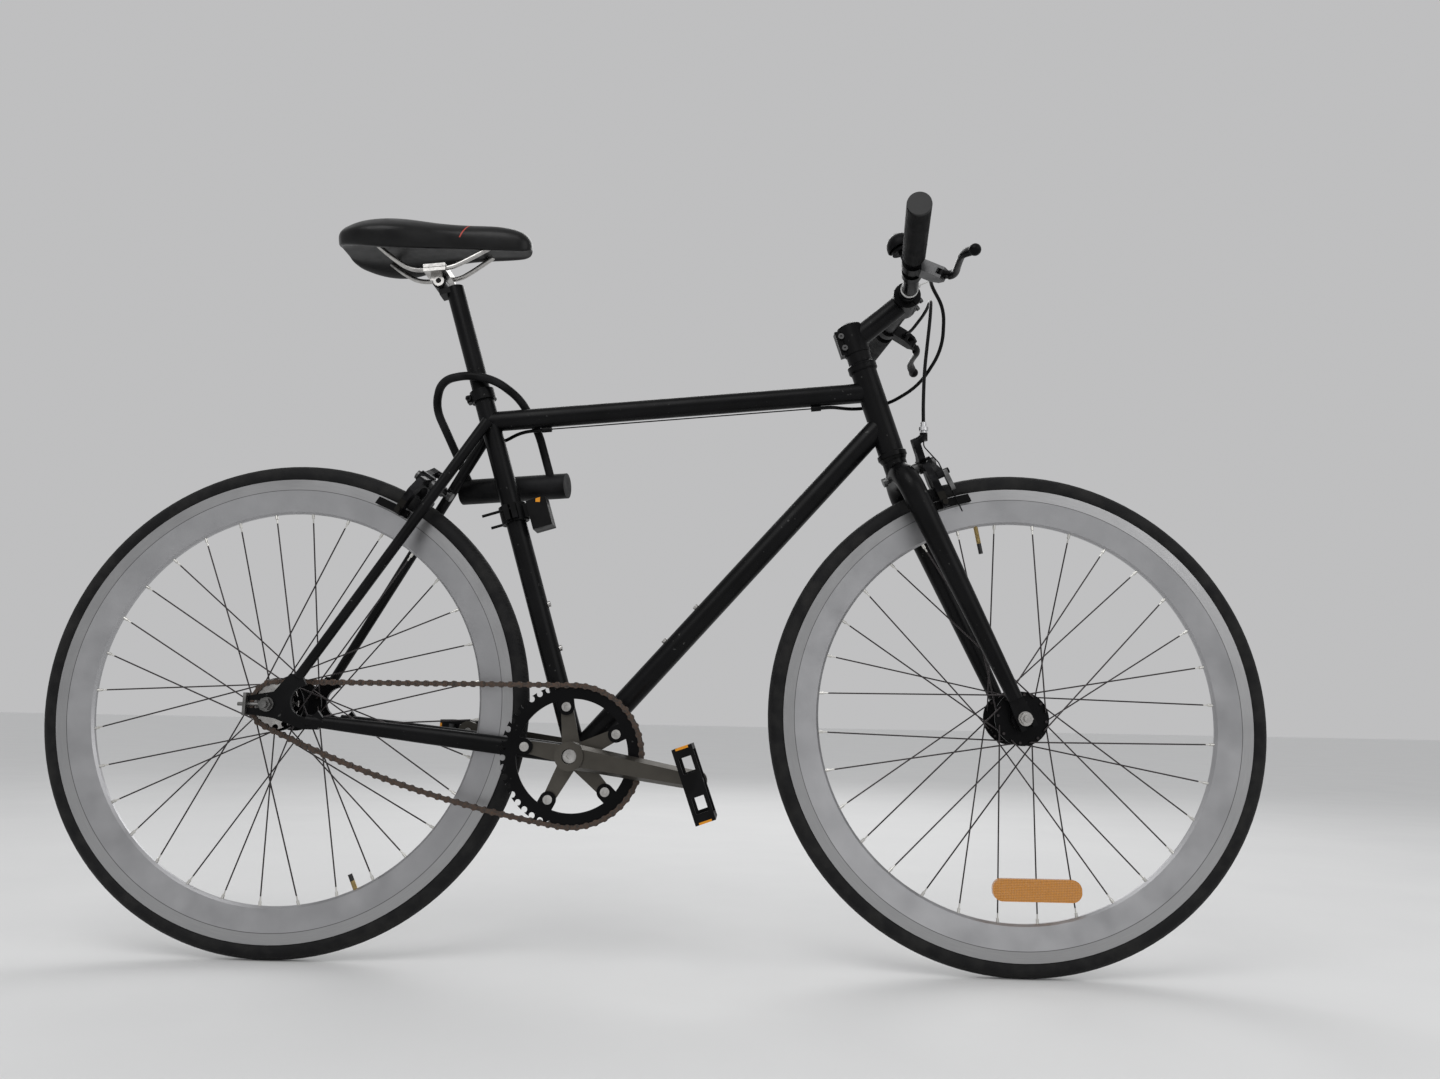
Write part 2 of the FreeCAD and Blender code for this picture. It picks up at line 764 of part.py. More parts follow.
race = turned(
    "crown_race",
    [[
        ("Sizes.steerer_diameter / 2", "0"), ("Sizes.crown_tube_diameter / 2 + 1", "0"),
        ("Sizes.headset_radius - 1", str(RACE_HEIGHT)), ("Sizes.steerer_diameter / 2", str(RACE_HEIGHT)),
    ]],
    along(head_point(RACE_LEVEL), HEAD_UP),
)
cover = turned(
    "top_cover",
    [[
        ("Sizes.steerer_diameter / 2", "0"), ("Sizes.headset_radius", "0"), ("Sizes.headset_radius", "2"),
        ("Sizes.steerer_diameter / 2 + Sizes.spacer_wall", str(RACE_HEIGHT)),
        ("Sizes.steerer_diameter / 2", str(RACE_HEIGHT)),
    ]],
    along(head_point(COVER_TOP - RACE_HEIGHT), HEAD_UP),
)
spacers = []
for index in range(int(size("spacer_count"))):
    spacers.append(ring(
        f"spacer_{index}", "Sizes.steerer_diameter / 2",
        "Sizes.steerer_diameter / 2 + Sizes.spacer_wall - 0.5", "0", "Sizes.spacer_height",
        along(head_point(COVER_TOP + index * size("spacer_height")), HEAD_UP),
    ))
cap = turned(
    "stem_cap",
    [[
        ("0", "0"), ("Sizes.stem_clamp_diameter / 2 - 1", "0"), ("Sizes.stem_clamp_diameter / 2 - 1", "2"),
        ("Sizes.stem_clamp_diameter / 2 - 6", "5"), ("0", "5"),
    ]],
    along(head_point(STEM_TOP), HEAD_UP),
)
node(group("headset_spacers", race, cover, *spacers, cap), "headset_spacers")

# Fork: steerer with a bent crown, and straight tapered blades with their dropouts
BLADE_DOWN = (FRONT_HUB - CROWN).normalize()
BLADE_FORWARD = BLADE_DOWN.cross(Y_AXIS)
if BLADE_FORWARD.x < 0:
    BLADE_FORWARD = BLADE_FORWARD * -1
FORK_PLATE_INSIDE = size("front_dropout_gap") / 2
FORK_PLATE_MIDDLE = FORK_PLATE_INSIDE + size("fork_plate_thickness") / 2
BLADE_END_GAP = 28


def fork_crown_shape():
    leg = BLADE_DOWN * size("crown_leg_length")
    shoulder = Y_AXIS * size("crown_leg_offset")
    route = [CROWN + shoulder + leg, CROWN + shoulder, CROWN - shoulder, CROWN - shoulder + leg]
    tube_radius = size("crown_tube_diameter") / 2
    outside = swept(route, tube_radius, size("crown_bend_radius"))
    inside = swept(route, tube_radius - size("blade_wall"), size("crown_bend_radius"))
    top = head_point(STEM_TOP)
    base = head_point(RACE_LEVEL)
    steerer = bar_shape(CROWN, top, size("steerer_diameter") / 2)
    neck = bar_shape(CROWN, base, tube_radius)
    bore = bar_shape(CROWN, top, size("steerer_diameter") / 2 - size("steerer_wall"))
    hole_half = BLADE_FORWARD * size("crown_tube_diameter")
    bolt_hole = bar_shape(CROWN - hole_half, CROWN + hole_half, size("brake_bolt_radius"))
    return outside.fuse([steerer, neck]).cut([inside, bore, bolt_hole]).removeSplitter()


def fork_end(side):
    """One slotted dropout plate at the foot of a fork blade."""
    face = FRONT_HUB + Y_AXIS * (side * FORK_PLATE_INSIDE)
    thickness = size("fork_plate_thickness")
    slot_radius = size("front_axle_radius") + size("dropout_slot_clearance")
    outline = []
    for ahead, down in ((-8, -46), (8, -46), (12, -6), (12, 14), (-12, 14), (-12, -6)):
        outline.append(face + BLADE_FORWARD * ahead + BLADE_DOWN * down)
    plate = plate_shape(outline, thickness, Y_AXIS * side)
    round_end = Part.makeCylinder(slot_radius, thickness, face, Y_AXIS * side)
    mouth = []
    for ahead, down in ((-slot_radius, 0), (slot_radius, 0), (slot_radius, 20), (-slot_radius, 20)):
        mouth.append(face + BLADE_FORWARD * ahead + BLADE_DOWN * down)
    return plate.cut([round_end, plate_shape(mouth, thickness, Y_AXIS * side)])


def fork_blade(side):
    top = CROWN + BLADE_DOWN * size("crown_leg_length") + Y_AXIS * (side * size("crown_leg_offset"))
    low = FRONT_HUB - BLADE_DOWN * BLADE_END_GAP + Y_AXIS * (side * FORK_PLATE_MIDDLE)
    first = size("crown_tube_diameter") / 2
    last = size("blade_end_diameter") / 2
    wall = size("blade_wall")
    length = (low - top).Length
    outside = Part.makeCone(first, last, length, top, low - top)
    inside = Part.makeCone(first - wall, last - wall, length, top, low - top)
    level = Part.makeBox(200, 200, 100, V(-100, -100, -100))
    level.Placement = along(CROWN + BLADE_DOWN * size("crown_leg_length"), BLADE_DOWN)
    return outside.cut([inside, level]).fuse(fork_end(side)).removeSplitter()


fork_crown = node(feature("fork_crown", fork_crown_shape()), "fork_crown")
node(feature("fork_blades", Part.makeCompound([fork_blade(1), fork_blade(-1)])), "fork_blades")


# Wheels, each built about its own axle
def turn_about_axle(shape, degrees):
    """A copy turned about the wheel's axle; a positive angle lifts the front."""
    copy = shape.copy()
    copy.rotate(V(0, 0, 0), Y_AXIS, -degrees)
    return copy


def on_wheel(radius, degrees, across):
    """A point of a wheel by radius, angle up from +X and place along the axle."""
    angle = math.radians(degrees)
    return V(radius * math.cos(angle), across, radius * math.sin(angle))


def rim_loops():
    outer = "Sizes.rim_outer_radius"
    half = "Sizes.rim_width / 2"
    wall = "Sizes.rim_wall"
    bed = f"({outer} - Sizes.rim_hook_height)"
    track = f"({outer} - Sizes.brake_track_height)"
    nose = f"({outer} - Sizes.rim_depth)"
    nose_half = "Sizes.rim_nose_width / 2"
    rounding = "Sizes.rim_nose_round"
    right = [
        (outer, f"{half} - {wall}"), (outer, half), (track, half), (f"{nose} + {rounding}", nose_half),
        (nose, f"{nose_half} - {rounding}"),
    ]
    section = [(bed, f"{half} - {wall}"), *right]
    far_side = [(radius, f"-({across})") for radius, across in reversed(section)]
    chamber = [
        (f"{bed} - {wall}", f"{half} - {wall}"), (track, f"{half} - {wall}"),
        (f"{nose} + {rounding} + {wall}", f"{nose_half} - {wall}"),
        (f"{nose} + {wall}", f"{nose_half} - {rounding}"),
    ]
    far_chamber = [(radius, f"-({across})") for radius, across in reversed(chamber)]
    return [section + far_side, chamber + far_chamber]


def spoke_kinds(valve_angle):
    """The four kinds of spoke: flange side, running outside or inside the flange, hole and rim angles."""
    per_flange = int(size("spoke_count")) // 2
    step = 360 / per_flange
    reach = step * size("spoke_crosses")
    phase = valve_angle - step / 4
    kinds = []
    for side, shift in ((1, 0), (-1, step / 2)):
        kinds.append((side, 1, phase + shift, phase + shift + reach))
        kinds.append((side, -1, phase + shift + step, phase + shift + step - reach))
    return kinds


def spoke_line(kind, flange_offset):
    """Start in the flange, bend beside it, and the end inside the rim."""
    side, face, hole_angle, rim_angle = kind
    circle = size("spoke_hole_circle") / 2
    beside = size("hub_flange_thickness") / 2 + size("spoke_diameter") / 2 + size("fit_gap")
    room = size("outside_spoke_room") if face > 0 else 0
    start = on_wheel(circle, hole_angle, side * (flange_offset - face * beside))
    bend = on_wheel(circle, hole_angle, side * (flange_offset + face * (beside + room)))
    nose = size("rim_outer_radius") - size("rim_depth")
    return start, bend, on_wheel(nose, rim_angle, 0)


def spoke_shape(kind, flange_offset):
    start, bend, end = spoke_line(kind, flange_offset)
    way = (end - bend).normalize()
    route = [start, bend, end - way * size("rim_wall")]
    wire = swept(route, size("spoke_diameter") / 2, size("spoke_bend_radius"))
    head_way = (start - bend).normalize()
    head = Part.makeCylinder(size("spoke_diameter") * 0.9, 1, start, head_way)
    low = end - way * (size("nipple_length") / 2)
    high = end + way * (size("nipple_length") / 2)
    nipple = bar_shape(low, high, size("nipple_diameter") / 2)
    return wire.fuse([head, nipple])


def copies_round(shape):
    """One shape repeated round the wheel, as often as each kind of spoke comes."""
    count = int(size("spoke_count")) // 4
    return [turn_about_axle(shape, 360 / count * index) for index in range(count)]


def wheel_rim(prefix, hub, valve_angle, flange_offset):
    body = turned(prefix + "_rim_section", rim_loops(), Placement(V(0, 0, 0), AXLE_WAY))
    holes = []
    clearance = size("spoke_hole_clearance")
    for kind in spoke_kinds(valve_angle):
        _, bend, end = spoke_line(kind, flange_offset)
        way = (end - bend).normalize() * size("nipple_length")
        hole = bar_shape(end - way, end + way, size("nipple_diameter") / 2 + clearance)
        holes.extend(copies_round(hole))
    inner = size("rim_outer_radius") - size("rim_depth") - size("rim_wall")
    holes.append(bar_shape(
        on_wheel(inner, valve_angle, 0), on_wheel(size("rim_outer_radius"), valve_angle, 0),
        size("valve_diameter") / 2 + clearance,
    ))
    drilled = cut(prefix + "_rim", body, feature(prefix + "_rim_holes", Part.makeCompound(holes)))
    drilled.Placement = Placement(hub, Rotation())
    return node(drilled, prefix + "_rim")


def revolved(edges):
    face = Part.Face(Part.Wire(edges))
    return face.revolve(V(0, 0, 0), Y_AXIS, 360)


def tyre_shape():
    """The tyre's casing as a ring open towards the rim, with a bead on each edge."""
    half = size("tyre_width") / 2
    centre = size("tyre_radius") - half
    inside = half - size("tyre_casing")
    bead_out = size("rim_width") / 2 - size("rim_wall") - size("fit_gap")
    bead_in = bead_out - size("tyre_casing")
    bead_low = size("rim_outer_radius") - size("tyre_bead_depth")
    edge = size("rim_outer_radius") + size("fit_gap")
    outer_across = math.sqrt(half ** 2 - (centre - edge) ** 2)
    inner_radius = centre - math.sqrt(inside ** 2 - bead_in ** 2)

    def spot(radius, across):
        return V(radius, across, 0)

    corners = [
        spot(edge, outer_across), spot(edge, bead_out), spot(bead_low, bead_out), spot(bead_low, bead_in),
        spot(inner_radius, bead_in),
    ]
    others = [V(point.x, -point.y, 0) for point in reversed(corners)]
    edges = [Part.LineSegment(a, b).toShape() for a, b in zip(corners, corners[1:])]
    edges.append(Part.Arc(corners[-1], spot(centre + inside, 0), others[0]).toShape())
    edges.extend(Part.LineSegment(a, b).toShape() for a, b in zip(others, others[1:]))
    edges.append(Part.Arc(others[-1], spot(size("tyre_radius"), 0), corners[0]).toShape())
    return revolved(edges)


def inner_tube_shape(valve_angle, valve_length):
    """The hollow inner tube, and the valve that stands inwards through the rim."""
    centre = size("tyre_radius") - size("tyre_width") / 2
    bead_in = size("rim_width") / 2 - size("rim_wall") - 2 * size("fit_gap") - size("tyre_casing")
    radius = min(size("tyre_width") / 2 - size("tyre_casing") - size("fit_gap"), bead_in)
    middle = centre + size("tyre_width") / 2 - size("tyre_casing") - size("fit_gap") - radius
    outside = Part.makeTorus(middle, radius, V(0, 0, 0), Y_AXIS)
    inside = Part.makeTorus(middle, radius - size("inner_tube_wall"), V(0, 0, 0), Y_AXIS)
    nose = size("rim_outer_radius") - size("rim_depth")
    stem = bar_shape(
        on_wheel(nose - valve_length, valve_angle, 0), on_wheel(middle - radius, valve_angle, 0),
        size("valve_diameter") / 2,
    )
    return [outside.cut(inside), stem.cut(outside)]


def wheel_tyre(prefix, hub, valve_angle, valve_length):
    place = Placement(hub, Rotation())
    tube = Part.makeCompound(inner_tube_shape(valve_angle, valve_length))
    node(feature(prefix + "_tyre", tyre_shape(), place), prefix + "_tyre")
    node(feature(prefix + "_inner_tube", tube, place), prefix + "_inner_tube")


def wheel_spokes(prefix, hub, valve_angle, flange_offset):
    spokes = []
    for kind in spoke_kinds(valve_angle):
        spokes.extend(copies_round(spoke_shape(kind, flange_offset)))
    return node(
        feature(prefix + "_spokes", Part.makeCompound(spokes), Placement(hub, Rotation())), prefix + "_spokes"
    )


def wheel_hub(prefix, hub, valve_angle, flange_cell, gap_cell):
    """A high-flange hub shell with a bearing ring in each end."""
    end = f"({gap_cell} / 2 - Sizes.hub_end_gap)"
    seat = f"({end} - Sizes.bearing_width)"
    flange_in = f"({flange_cell} - Sizes.hub_flange_thickness / 2)"
    flange_out = f"({flange_cell} + Sizes.hub_flange_thickness / 2)"
    bore = "Sizes.journal_radius + 1"
    left = [
        (bore, seat), ("Sizes.bearing_radius", seat),
        ("Sizes.bearing_radius", end), ("Sizes.hub_end_radius", end),
        ("Sizes.hub_end_radius", flange_out), ("Sizes.hub_flange_radius", flange_out),
        ("Sizes.hub_flange_radius", flange_in), ("Sizes.hub_end_radius + 2", flange_in),
        ("Sizes.hub_barrel_radius", f"{flange_in} - 6"),
    ]
    right = [(radius, f"-{across}") for radius, across in reversed(left)]
    local = Placement(V(0, 0, 0), AXLE_WAY)
    shell = turned(prefix + "_hub_shell", [left + right], local)
    holes = []
    offset = value(flange_cell)
    for kind in spoke_kinds(valve_angle):
        start, bend, _ = spoke_line(kind, offset)
        reach = (bend - start).normalize()
        hole = bar_shape(
            start - reach, bend + reach, size("spoke_diameter") / 2 + size("spoke_hole_clearance")
        )
        holes.extend(copies_round(hole))
    drilled = cut(prefix + "_hub_drilled", shell, feature(prefix + "_hub_holes", Part.makeCompound(holes)))
    inner = "Sizes.journal_radius + Sizes.running_clearance"
    rings = [
        ring(f"{prefix}_bearing_left", inner, "Sizes.bearing_radius", seat, end, local),
        ring(f"{prefix}_bearing_right", inner, "Sizes.bearing_radius", f"-{end}", f"-{seat}", local),
    ]
    whole = group(prefix + "_hub", drilled, *rings)
    whole.Placement = Placement(hub, Rotation())
    return node(whole, prefix + "_hub")


def wheel_axle(prefix, hub, gap_cell, radius_cell, plate_cell):
    """The axle with journals, locknuts, washers and nuts, held in the dropouts."""
    face = f"{gap_cell} / 2"
    outer = f"({face} + {plate_cell})"
    washer = f"({outer} + Sizes.axle_washer_thickness)"
    nut_face = f"({washer} + Sizes.axle_nut_height)"
    tip = f"({nut_face} + Sizes.axle_neck_width)"
    end = f"({nut_face} + Sizes.axle_end_length)"
    neck = f"({radius_cell} - Sizes.axle_neck_depth)"
    seat = f"({face} - Sizes.hub_end_gap - Sizes.bearing_width - 1)"
    lock = f"({face} - Sizes.locknut_width)"
    half = [
        (radius_cell, end), (radius_cell, tip), (neck, tip), (neck, nut_face),
        (radius_cell, nut_face), (radius_cell, face),
        ("Sizes.locknut_radius", face), ("Sizes.locknut_radius", lock),
        ("Sizes.journal_radius", lock), ("Sizes.journal_radius", seat), (radius_cell, seat),
    ]
    corners = [("0", end), *half, *[(r, f"-{a}") for r, a in reversed(half)], ("0", f"-{end}")]
    pieces = [turned(prefix + "_axle_rod", [corners], Placement(hub, AXLE_WAY))]
    for side, label in ((1, "left"), (-1, "right")):
        at_plate = hub + Y_AXIS * (side * value(outer))
        at_washer = hub + Y_AXIS * (side * value(washer))
        pieces.append(ring(
            f"{prefix}_washer_{label}", radius_cell, "Sizes.axle_washer_radius", "0",
            "Sizes.axle_washer_thickness", along(at_plate, Y_AXIS * side),
        ))
        body = hexagon(
            f"{prefix}_nut_{label}_body", "Sizes.axle_nut_size", "Sizes.axle_nut_height",
            along(at_washer, Y_AXIS * side),
        )
        thread = cylinder(
            f"{prefix}_nut_{label}_thread", radius_cell, "Sizes.axle_nut_height",
            along(at_washer, Y_AXIS * side)
        )
        pieces.append(cut(f"{prefix}_nut_{label}", body, thread))
    return pieces


for prefix, hub in (("front", FRONT_HUB), ("rear", REAR_HUB)):
    valve_angle = size(prefix + "_valve_angle")
    flange_cell = f"Sizes.{prefix}_flange_offset"
    gap_cell = f"Sizes.{prefix}_dropout_gap"
    wheel_tyre(prefix, hub, valve_angle, size(prefix + "_valve_length"))
    wheel_rim(prefix, hub, valve_angle, size(prefix + "_flange_offset"))
    wheel_spokes(prefix, hub, valve_angle, size(prefix + "_flange_offset"))
    wheel_hub(prefix, hub, valve_angle, flange_cell, gap_cell)

front_axle = wheel_axle(
    "front", FRONT_HUB, "Sizes.front_dropout_gap", "Sizes.front_axle_radius", "Sizes.fork_plate_thickness"
)
node(group("front_axle", *front_axle), "front_axle")

# Rear axle with a chain tug plate behind each dropout
TUG_THICKNESS = 4
TUG_HEIGHT = 30
TUG_SCREW_RADIUS = 2.5


def chain_tug(side):
    """An end plate behind the slot, with a screw whose eye sits on the axle."""
    middle = REAR_HUB + V(-PLATE_REAR - TUG_THICKNESS, side * (PLATE_INSIDE - 2), -TUG_HEIGHT / 2)
    depth = size("rear_plate_thickness") + 8
    low_y = middle.y if side > 0 else middle.y - depth
    plate = Part.makeBox(TUG_THICKNESS, depth, TUG_HEIGHT, V(middle.x, low_y, middle.z))
    screw_y = side * (PLATE_INSIDE + size("rear_plate_thickness") / 2)
    start = REAR_HUB + V(-PLATE_REAR - TUG_THICKNESS - 10, screw_y, 0)
    end = REAR_HUB + V(-size("rear_axle_radius") - size("fit_gap"), screw_y, 0)
    screw = bar_shape(start, end, TUG_SCREW_RADIUS)
    return plate.fuse(screw)


rear_axle = wheel_axle(
    "rear", REAR_HUB, "Sizes.rear_dropout_gap", "Sizes.rear_axle_radius", "Sizes.rear_plate_thickness"
)
tugs = feature("chain_tugs", Part.makeCompound([chain_tug(1), chain_tug(-1)]))
node(group("rear_axle", *rear_axle, tugs), "rear_axle")

# Amber reflector clipped on the right-hand spokes of the front wheel
NEAR_SPOKES = -10.4


def reflector_shape():
    low = V(
        size("reflector_forward") - size("reflector_length") / 2, NEAR_SPOKES - size("reflector_thickness"),
        -size("reflector_drop") - size("reflector_height") / 2,
    )
    block = Part.makeBox(size("reflector_length"), size("reflector_thickness"), size("reflector_height"), low)
    upright = [edge for edge in block.Edges if abs(edge.tangentAt(0).y) > 0.9]
    return block.makeFillet(size("reflector_height") * 0.45, upright)


node(feature("front_reflector", reflector_shape(), Placement(FRONT_HUB, Rotation())), "front_reflector")


# Chain path: round the ring, along the top run, round the sprocket and back along a slack lower run
def pitch_radius(teeth):
    return size("chain_pitch") / (2 * math.sin(math.pi / teeth))


RING_RADIUS = pitch_radius(size("ring_teeth"))
SPROCKET_RADIUS = pitch_radius(size("sprocket_teeth"))
CHAIN_STEP = 0.5


def arc_points(centre, radius, start, end):
    """Points round a circle from one angle to another, in radians, going anticlockwise."""
    count = max(int(abs(end - start) * radius / CHAIN_STEP), 2)
    return [
        centre + V(math.cos(angle), 0, math.sin(angle)) * radius
        for angle in (start + (end - start) * i / count for i in range(count + 1))
    ]


def line_points(start, end):
    """Points along a straight run, without its two ends."""
    count = int((end - start).Length / CHAIN_STEP)
    return [start + (end - start) * (i / count) for i in range(1, count)]


def chain_loop(slack_radius):
    """The closed chain line whose lower run is an arc of a given radius touching both wheels inside."""
    ring_centre, cog_centre = BRACKET, REAR_HUB
    apart = cog_centre - ring_centre
    heading = math.atan2(apart.z, apart.x)
    lean = math.acos((RING_RADIUS - SPROCKET_RADIUS) / apart.Length)
    top_angle = heading - lean
    near = slack_radius - RING_RADIUS
    far = slack_radius - SPROCKET_RADIUS
    ahead = (near ** 2 - far ** 2 + apart.Length ** 2) / (2 * apart.Length)
    above = math.sqrt(near ** 2 - ahead ** 2)
    side_way = V(-apart.z, 0, apart.x).normalize()
    if side_way.z < 0:
        side_way = side_way * -1
    slack_centre = ring_centre + apart.normalize() * ahead + side_way * above
    ring_low = ring_centre - slack_centre
    cog_low = cog_centre - slack_centre
    ring_angle = math.atan2(ring_low.z, ring_low.x)
    cog_angle = math.atan2(cog_low.z, cog_low.x)
    points = arc_points(ring_centre, RING_RADIUS, ring_angle, top_angle)
    round_cog = arc_points(cog_centre, SPROCKET_RADIUS, top_angle, cog_angle + 2 * math.pi)
    points += line_points(points[-1], round_cog[0]) + round_cog
    points += arc_points(slack_centre, slack_radius, cog_angle, ring_angle)
    return points


def chain_rollers(points, count):
    """Roller centres one pitch apart along the loop, and how far the last falls short of closing it."""
    pitch = size("chain_pitch")
    rollers = [points[0]]
    index = 0
    track = points + points[:200]
    while len(rollers) <= count and index < len(track) - 1:
        here = rollers[-1]
        while index < len(track) - 1 and (track[index + 1] - here).Length < pitch:
            index += 1
        if index >= len(track) - 1:
            break
        low, high = track[index], track[index + 1]
        for _ in range(40):
            middle = (low + high) * 0.5
            if (middle - here).Length < pitch:
                low = middle
            else:
                high = middle
        rollers.append(low)
    return rollers, index


def fitted_chain():
    """Choose an even number of links, then the slack that makes them close the loop exactly."""
    tight = 1e6
    loop = chain_loop(tight)
    length = sum((b - a).Length for a, b in zip(loop, loop[1:]))
    count = int(math.ceil(length / size("chain_pitch") / 2 - 0.02)) * 2
    low, high = 300.0, tight
    for _ in range(60):
        middle = math.sqrt(low * high)
        points = chain_loop(middle)
        _, index = chain_rollers(points, count)
        if index >= len(points) - 1:
            high = middle
        else:
            low = middle
    points = chain_loop(high)
    print("chain of", count, "links, slack arc radius", round(high))
    return chain_rollers(points, count)[0][:count]


ROLLERS = fitted_chain()
CHAIN_ACROSS = Y_AXIS * -size("chainline")


def chain_plate(half_gap):
    """A pair of link plates, waisted between two round ends, one pitch long."""
    pitch = size("chain_pitch")
    thickness = size("chain_plate_thickness")
    radius = size("chain_plate_height") / 2
    plates = []
    for side in (1, -1):
        low = half_gap if side > 0 else -half_gap - thickness
        ends = [
            Part.makeCylinder(radius, thickness, V(0, low, 0), Y_AXIS),
            Part.makeCylinder(radius, thickness, V(pitch, low, 0), Y_AXIS),
        ]
        waist = Part.makeBox(pitch, thickness, radius * 1.3, V(0, low, -radius * 0.65))
        plates.append(ends[0].fuse([ends[1], waist]))
    return plates


def chain_link(outer):
    """An outer link with its two pins, or an inner link with its two rollers."""
    pitch = size("chain_pitch")
    half = size("chain_inner_width") / 2
    gap = 0.1
    thickness = size("chain_plate_thickness")
    if outer:
        half_gap = half + thickness + gap
        reach = half_gap + thickness + 0.6
        plates = chain_plate(half_gap)
        pins = [
            Part.makeCylinder(size("chain_pin_radius"), 2 * reach, V(x, -reach, 0), Y_AXIS)
            for x in (0, pitch)
        ]
        return plates[0].fuse([plates[1], *pins])
    plates = chain_plate(half)
    reach = half + thickness
    rollers = [Part.makeCylinder(size("roller_radius"), 2 * half, V(x, -half, 0), Y_AXIS) for x in (0, pitch)]
    bore = size("chain_pin_radius") + size("chain_pin_gap")
    bores = [Part.makeCylinder(bore, 2 * reach, V(x, -reach, 0), Y_AXIS) for x in (0, pitch)]
    return plates[0].fuse([plates[1], *rollers]).cut(bores)


def chain_shape():
    templates = [chain_link(True), chain_link(False)]
    links = []
    for index, start in enumerate(ROLLERS):
        end = ROLLERS[(index + 1) % len(ROLLERS)]
        link = templates[index % 2].copy()
        link.Placement = Placement(start + CHAIN_ACROSS, Rotation(X_AXIS, end - start))
        links.append(link)
    return Part.makeCompound(links)


def tooth_phase(centre, radius):
    """The angle of one roller that lies on a wheel's pitch circle, in degrees."""
    best = min(ROLLERS, key=lambda point: abs((point - centre).Length - radius))
    spot = best - centre
    return math.degrees(math.atan2(spot.z, spot.x))


def toothed_disc(centre, teeth, thickness):
    """A disc with a round seat for each chain roller, and room where the chain leaves it."""
    radius = pitch_radius(teeth)
    middle = centre + CHAIN_ACROSS - Y_AXIS * (thickness / 2)
    disc = Part.makeCylinder(radius + size("tooth_height"), thickness, middle, Y_AXIS)
    seat_radius = size("roller_radius") + size("tooth_clearance")
    phase = tooth_phase(centre, radius)
    seats = []
    for index in range(int(teeth)):
        spot = middle + on_wheel(radius, phase + 360 / teeth * index, 0)
        seats.append(Part.makeCylinder(seat_radius, thickness, spot, Y_AXIS))
    for roller in ROLLERS:
        lift = (roller - centre).Length - radius
        if size("tooth_clearance") / 4 < lift < size("chain_pitch"):
            seats.append(Part.makeCylinder(seat_radius, thickness, roller + middle - centre, Y_AXIS))
    return disc.cut(Part.makeCompound(seats))


node(feature("chain", chain_shape()), "chain")

# Sprocket on the hub's right end, held by a lock ring
LOCK_RING_RADIUS = 22
LOCK_RING_WIDTH = 4


def sprocket_shape():
    thickness = size("ring_thickness")
    disc = toothed_disc(REAR_HUB, size("sprocket_teeth"), thickness)
    inner_face = -size("chainline") + thickness / 2
    hub_end = size("rear_dropout_gap") / 2 - size("hub_end_gap")
    flange_face = size("rear_flange_offset") + size("hub_flange_thickness") / 2
    boss_start = REAR_HUB + Y_AXIS * (-flange_face - 2.5)
    boss = bar_shape(boss_start, REAR_HUB + Y_AXIS * inner_face, LOCK_RING_RADIUS)
    bore = bar_shape(REAR_HUB, REAR_HUB - Y_AXIS * hub_end, size("hub_end_radius"))
    lock_start = REAR_HUB + Y_AXIS * (-size("chainline") - thickness / 2)
    lock = bar_shape(lock_start, lock_start - Y_AXIS * LOCK_RING_WIDTH, LOCK_RING_RADIUS)
    return Part.makeCompound([disc.fuse(boss).cut(bore), lock.cut(bore)])


node(feature("rear_sprocket", sprocket_shape()), "rear_sprocket")

# Chainring with five bolt tabs, and its bolts
SPIDER_ANGLES = [size("crank_angle") + 36 + 72 * index for index in range(5)]
RING_TAB_RADIUS = 11
RING_OUTER_FACE = -size("chainline") - size("ring_thickness") / 2
RING_INNER_FACE = -size("chainline") + size("ring_thickness") / 2


def bolt_spot(angle, across):
    return BRACKET + on_wheel(size("bolt_circle") / 2, angle, across)


def chainring_shape():
    thickness = size("ring_thickness")
    disc = toothed_disc(BRACKET, size("ring_teeth"), thickness)
    start = BRACKET + Y_AXIS * RING_OUTER_FACE
    window = Part.makeCylinder(size("ring_inner_radius"), thickness, start, Y_AXIS)
    tabs = []
    holes = []
    for angle in SPIDER_ANGLES:
        centre = bolt_spot(angle, -size("chainline"))
        outward = on_wheel(size("ring_inner_radius") + 2, angle, -size("chainline")) + BRACKET
        tabs.append(rounded_bar([centre, outward], 2 * RING_TAB_RADIUS, thickness, Y_AXIS))
        holes.append(Part.makeCylinder(
            size("ring_bolt_radius"), 2 * thickness, bolt_spot(angle, RING_OUTER_FACE - thickness / 2), Y_AXIS
        ))
    return disc.cut(window).fuse(tabs).cut(holes).removeSplitter()


def ring_bolt(angle):
    """A sleeve bolt through a ring tab and a spider arm, with a flat head on each side."""
    head = 1.6
    outer = bolt_spot(angle, RING_OUTER_FACE)
    inner = bolt_spot(angle, RING_INNER_FACE + size("spider_thickness"))
    shank = bar_shape(outer, inner, size("ring_bolt_radius"))
    heads = [
        Part.makeCylinder(size("ring_bolt_radius") + 1.4, head, outer, Y_AXIS * -1),
        Part.makeCylinder(size("ring_bolt_radius") + 1.4, head, inner, Y_AXIS),
    ]
    socket = Part.makeCylinder(size("ring_bolt_radius") - 2, head, outer - Y_AXIS * head, Y_AXIS)
    return shank.fuse(heads).cut(socket)


node(feature("chainring", chainring_shape()), "chainring")
node(feature("chainring_bolts", Part.makeCompound([ring_bolt(a) for a in SPIDER_ANGLES])), "chainring_bolts")

# Cranks: boss on the spindle, tapered arm and pedal eye; the right one carries the spider
CRANK_INNER_FACE = RING_INNER_FACE + size("spider_thickness")
ARM_ROOT_WIDTH = 34
ARM_TIP_WIDTH = 25
ARM_THICKNESS = 12


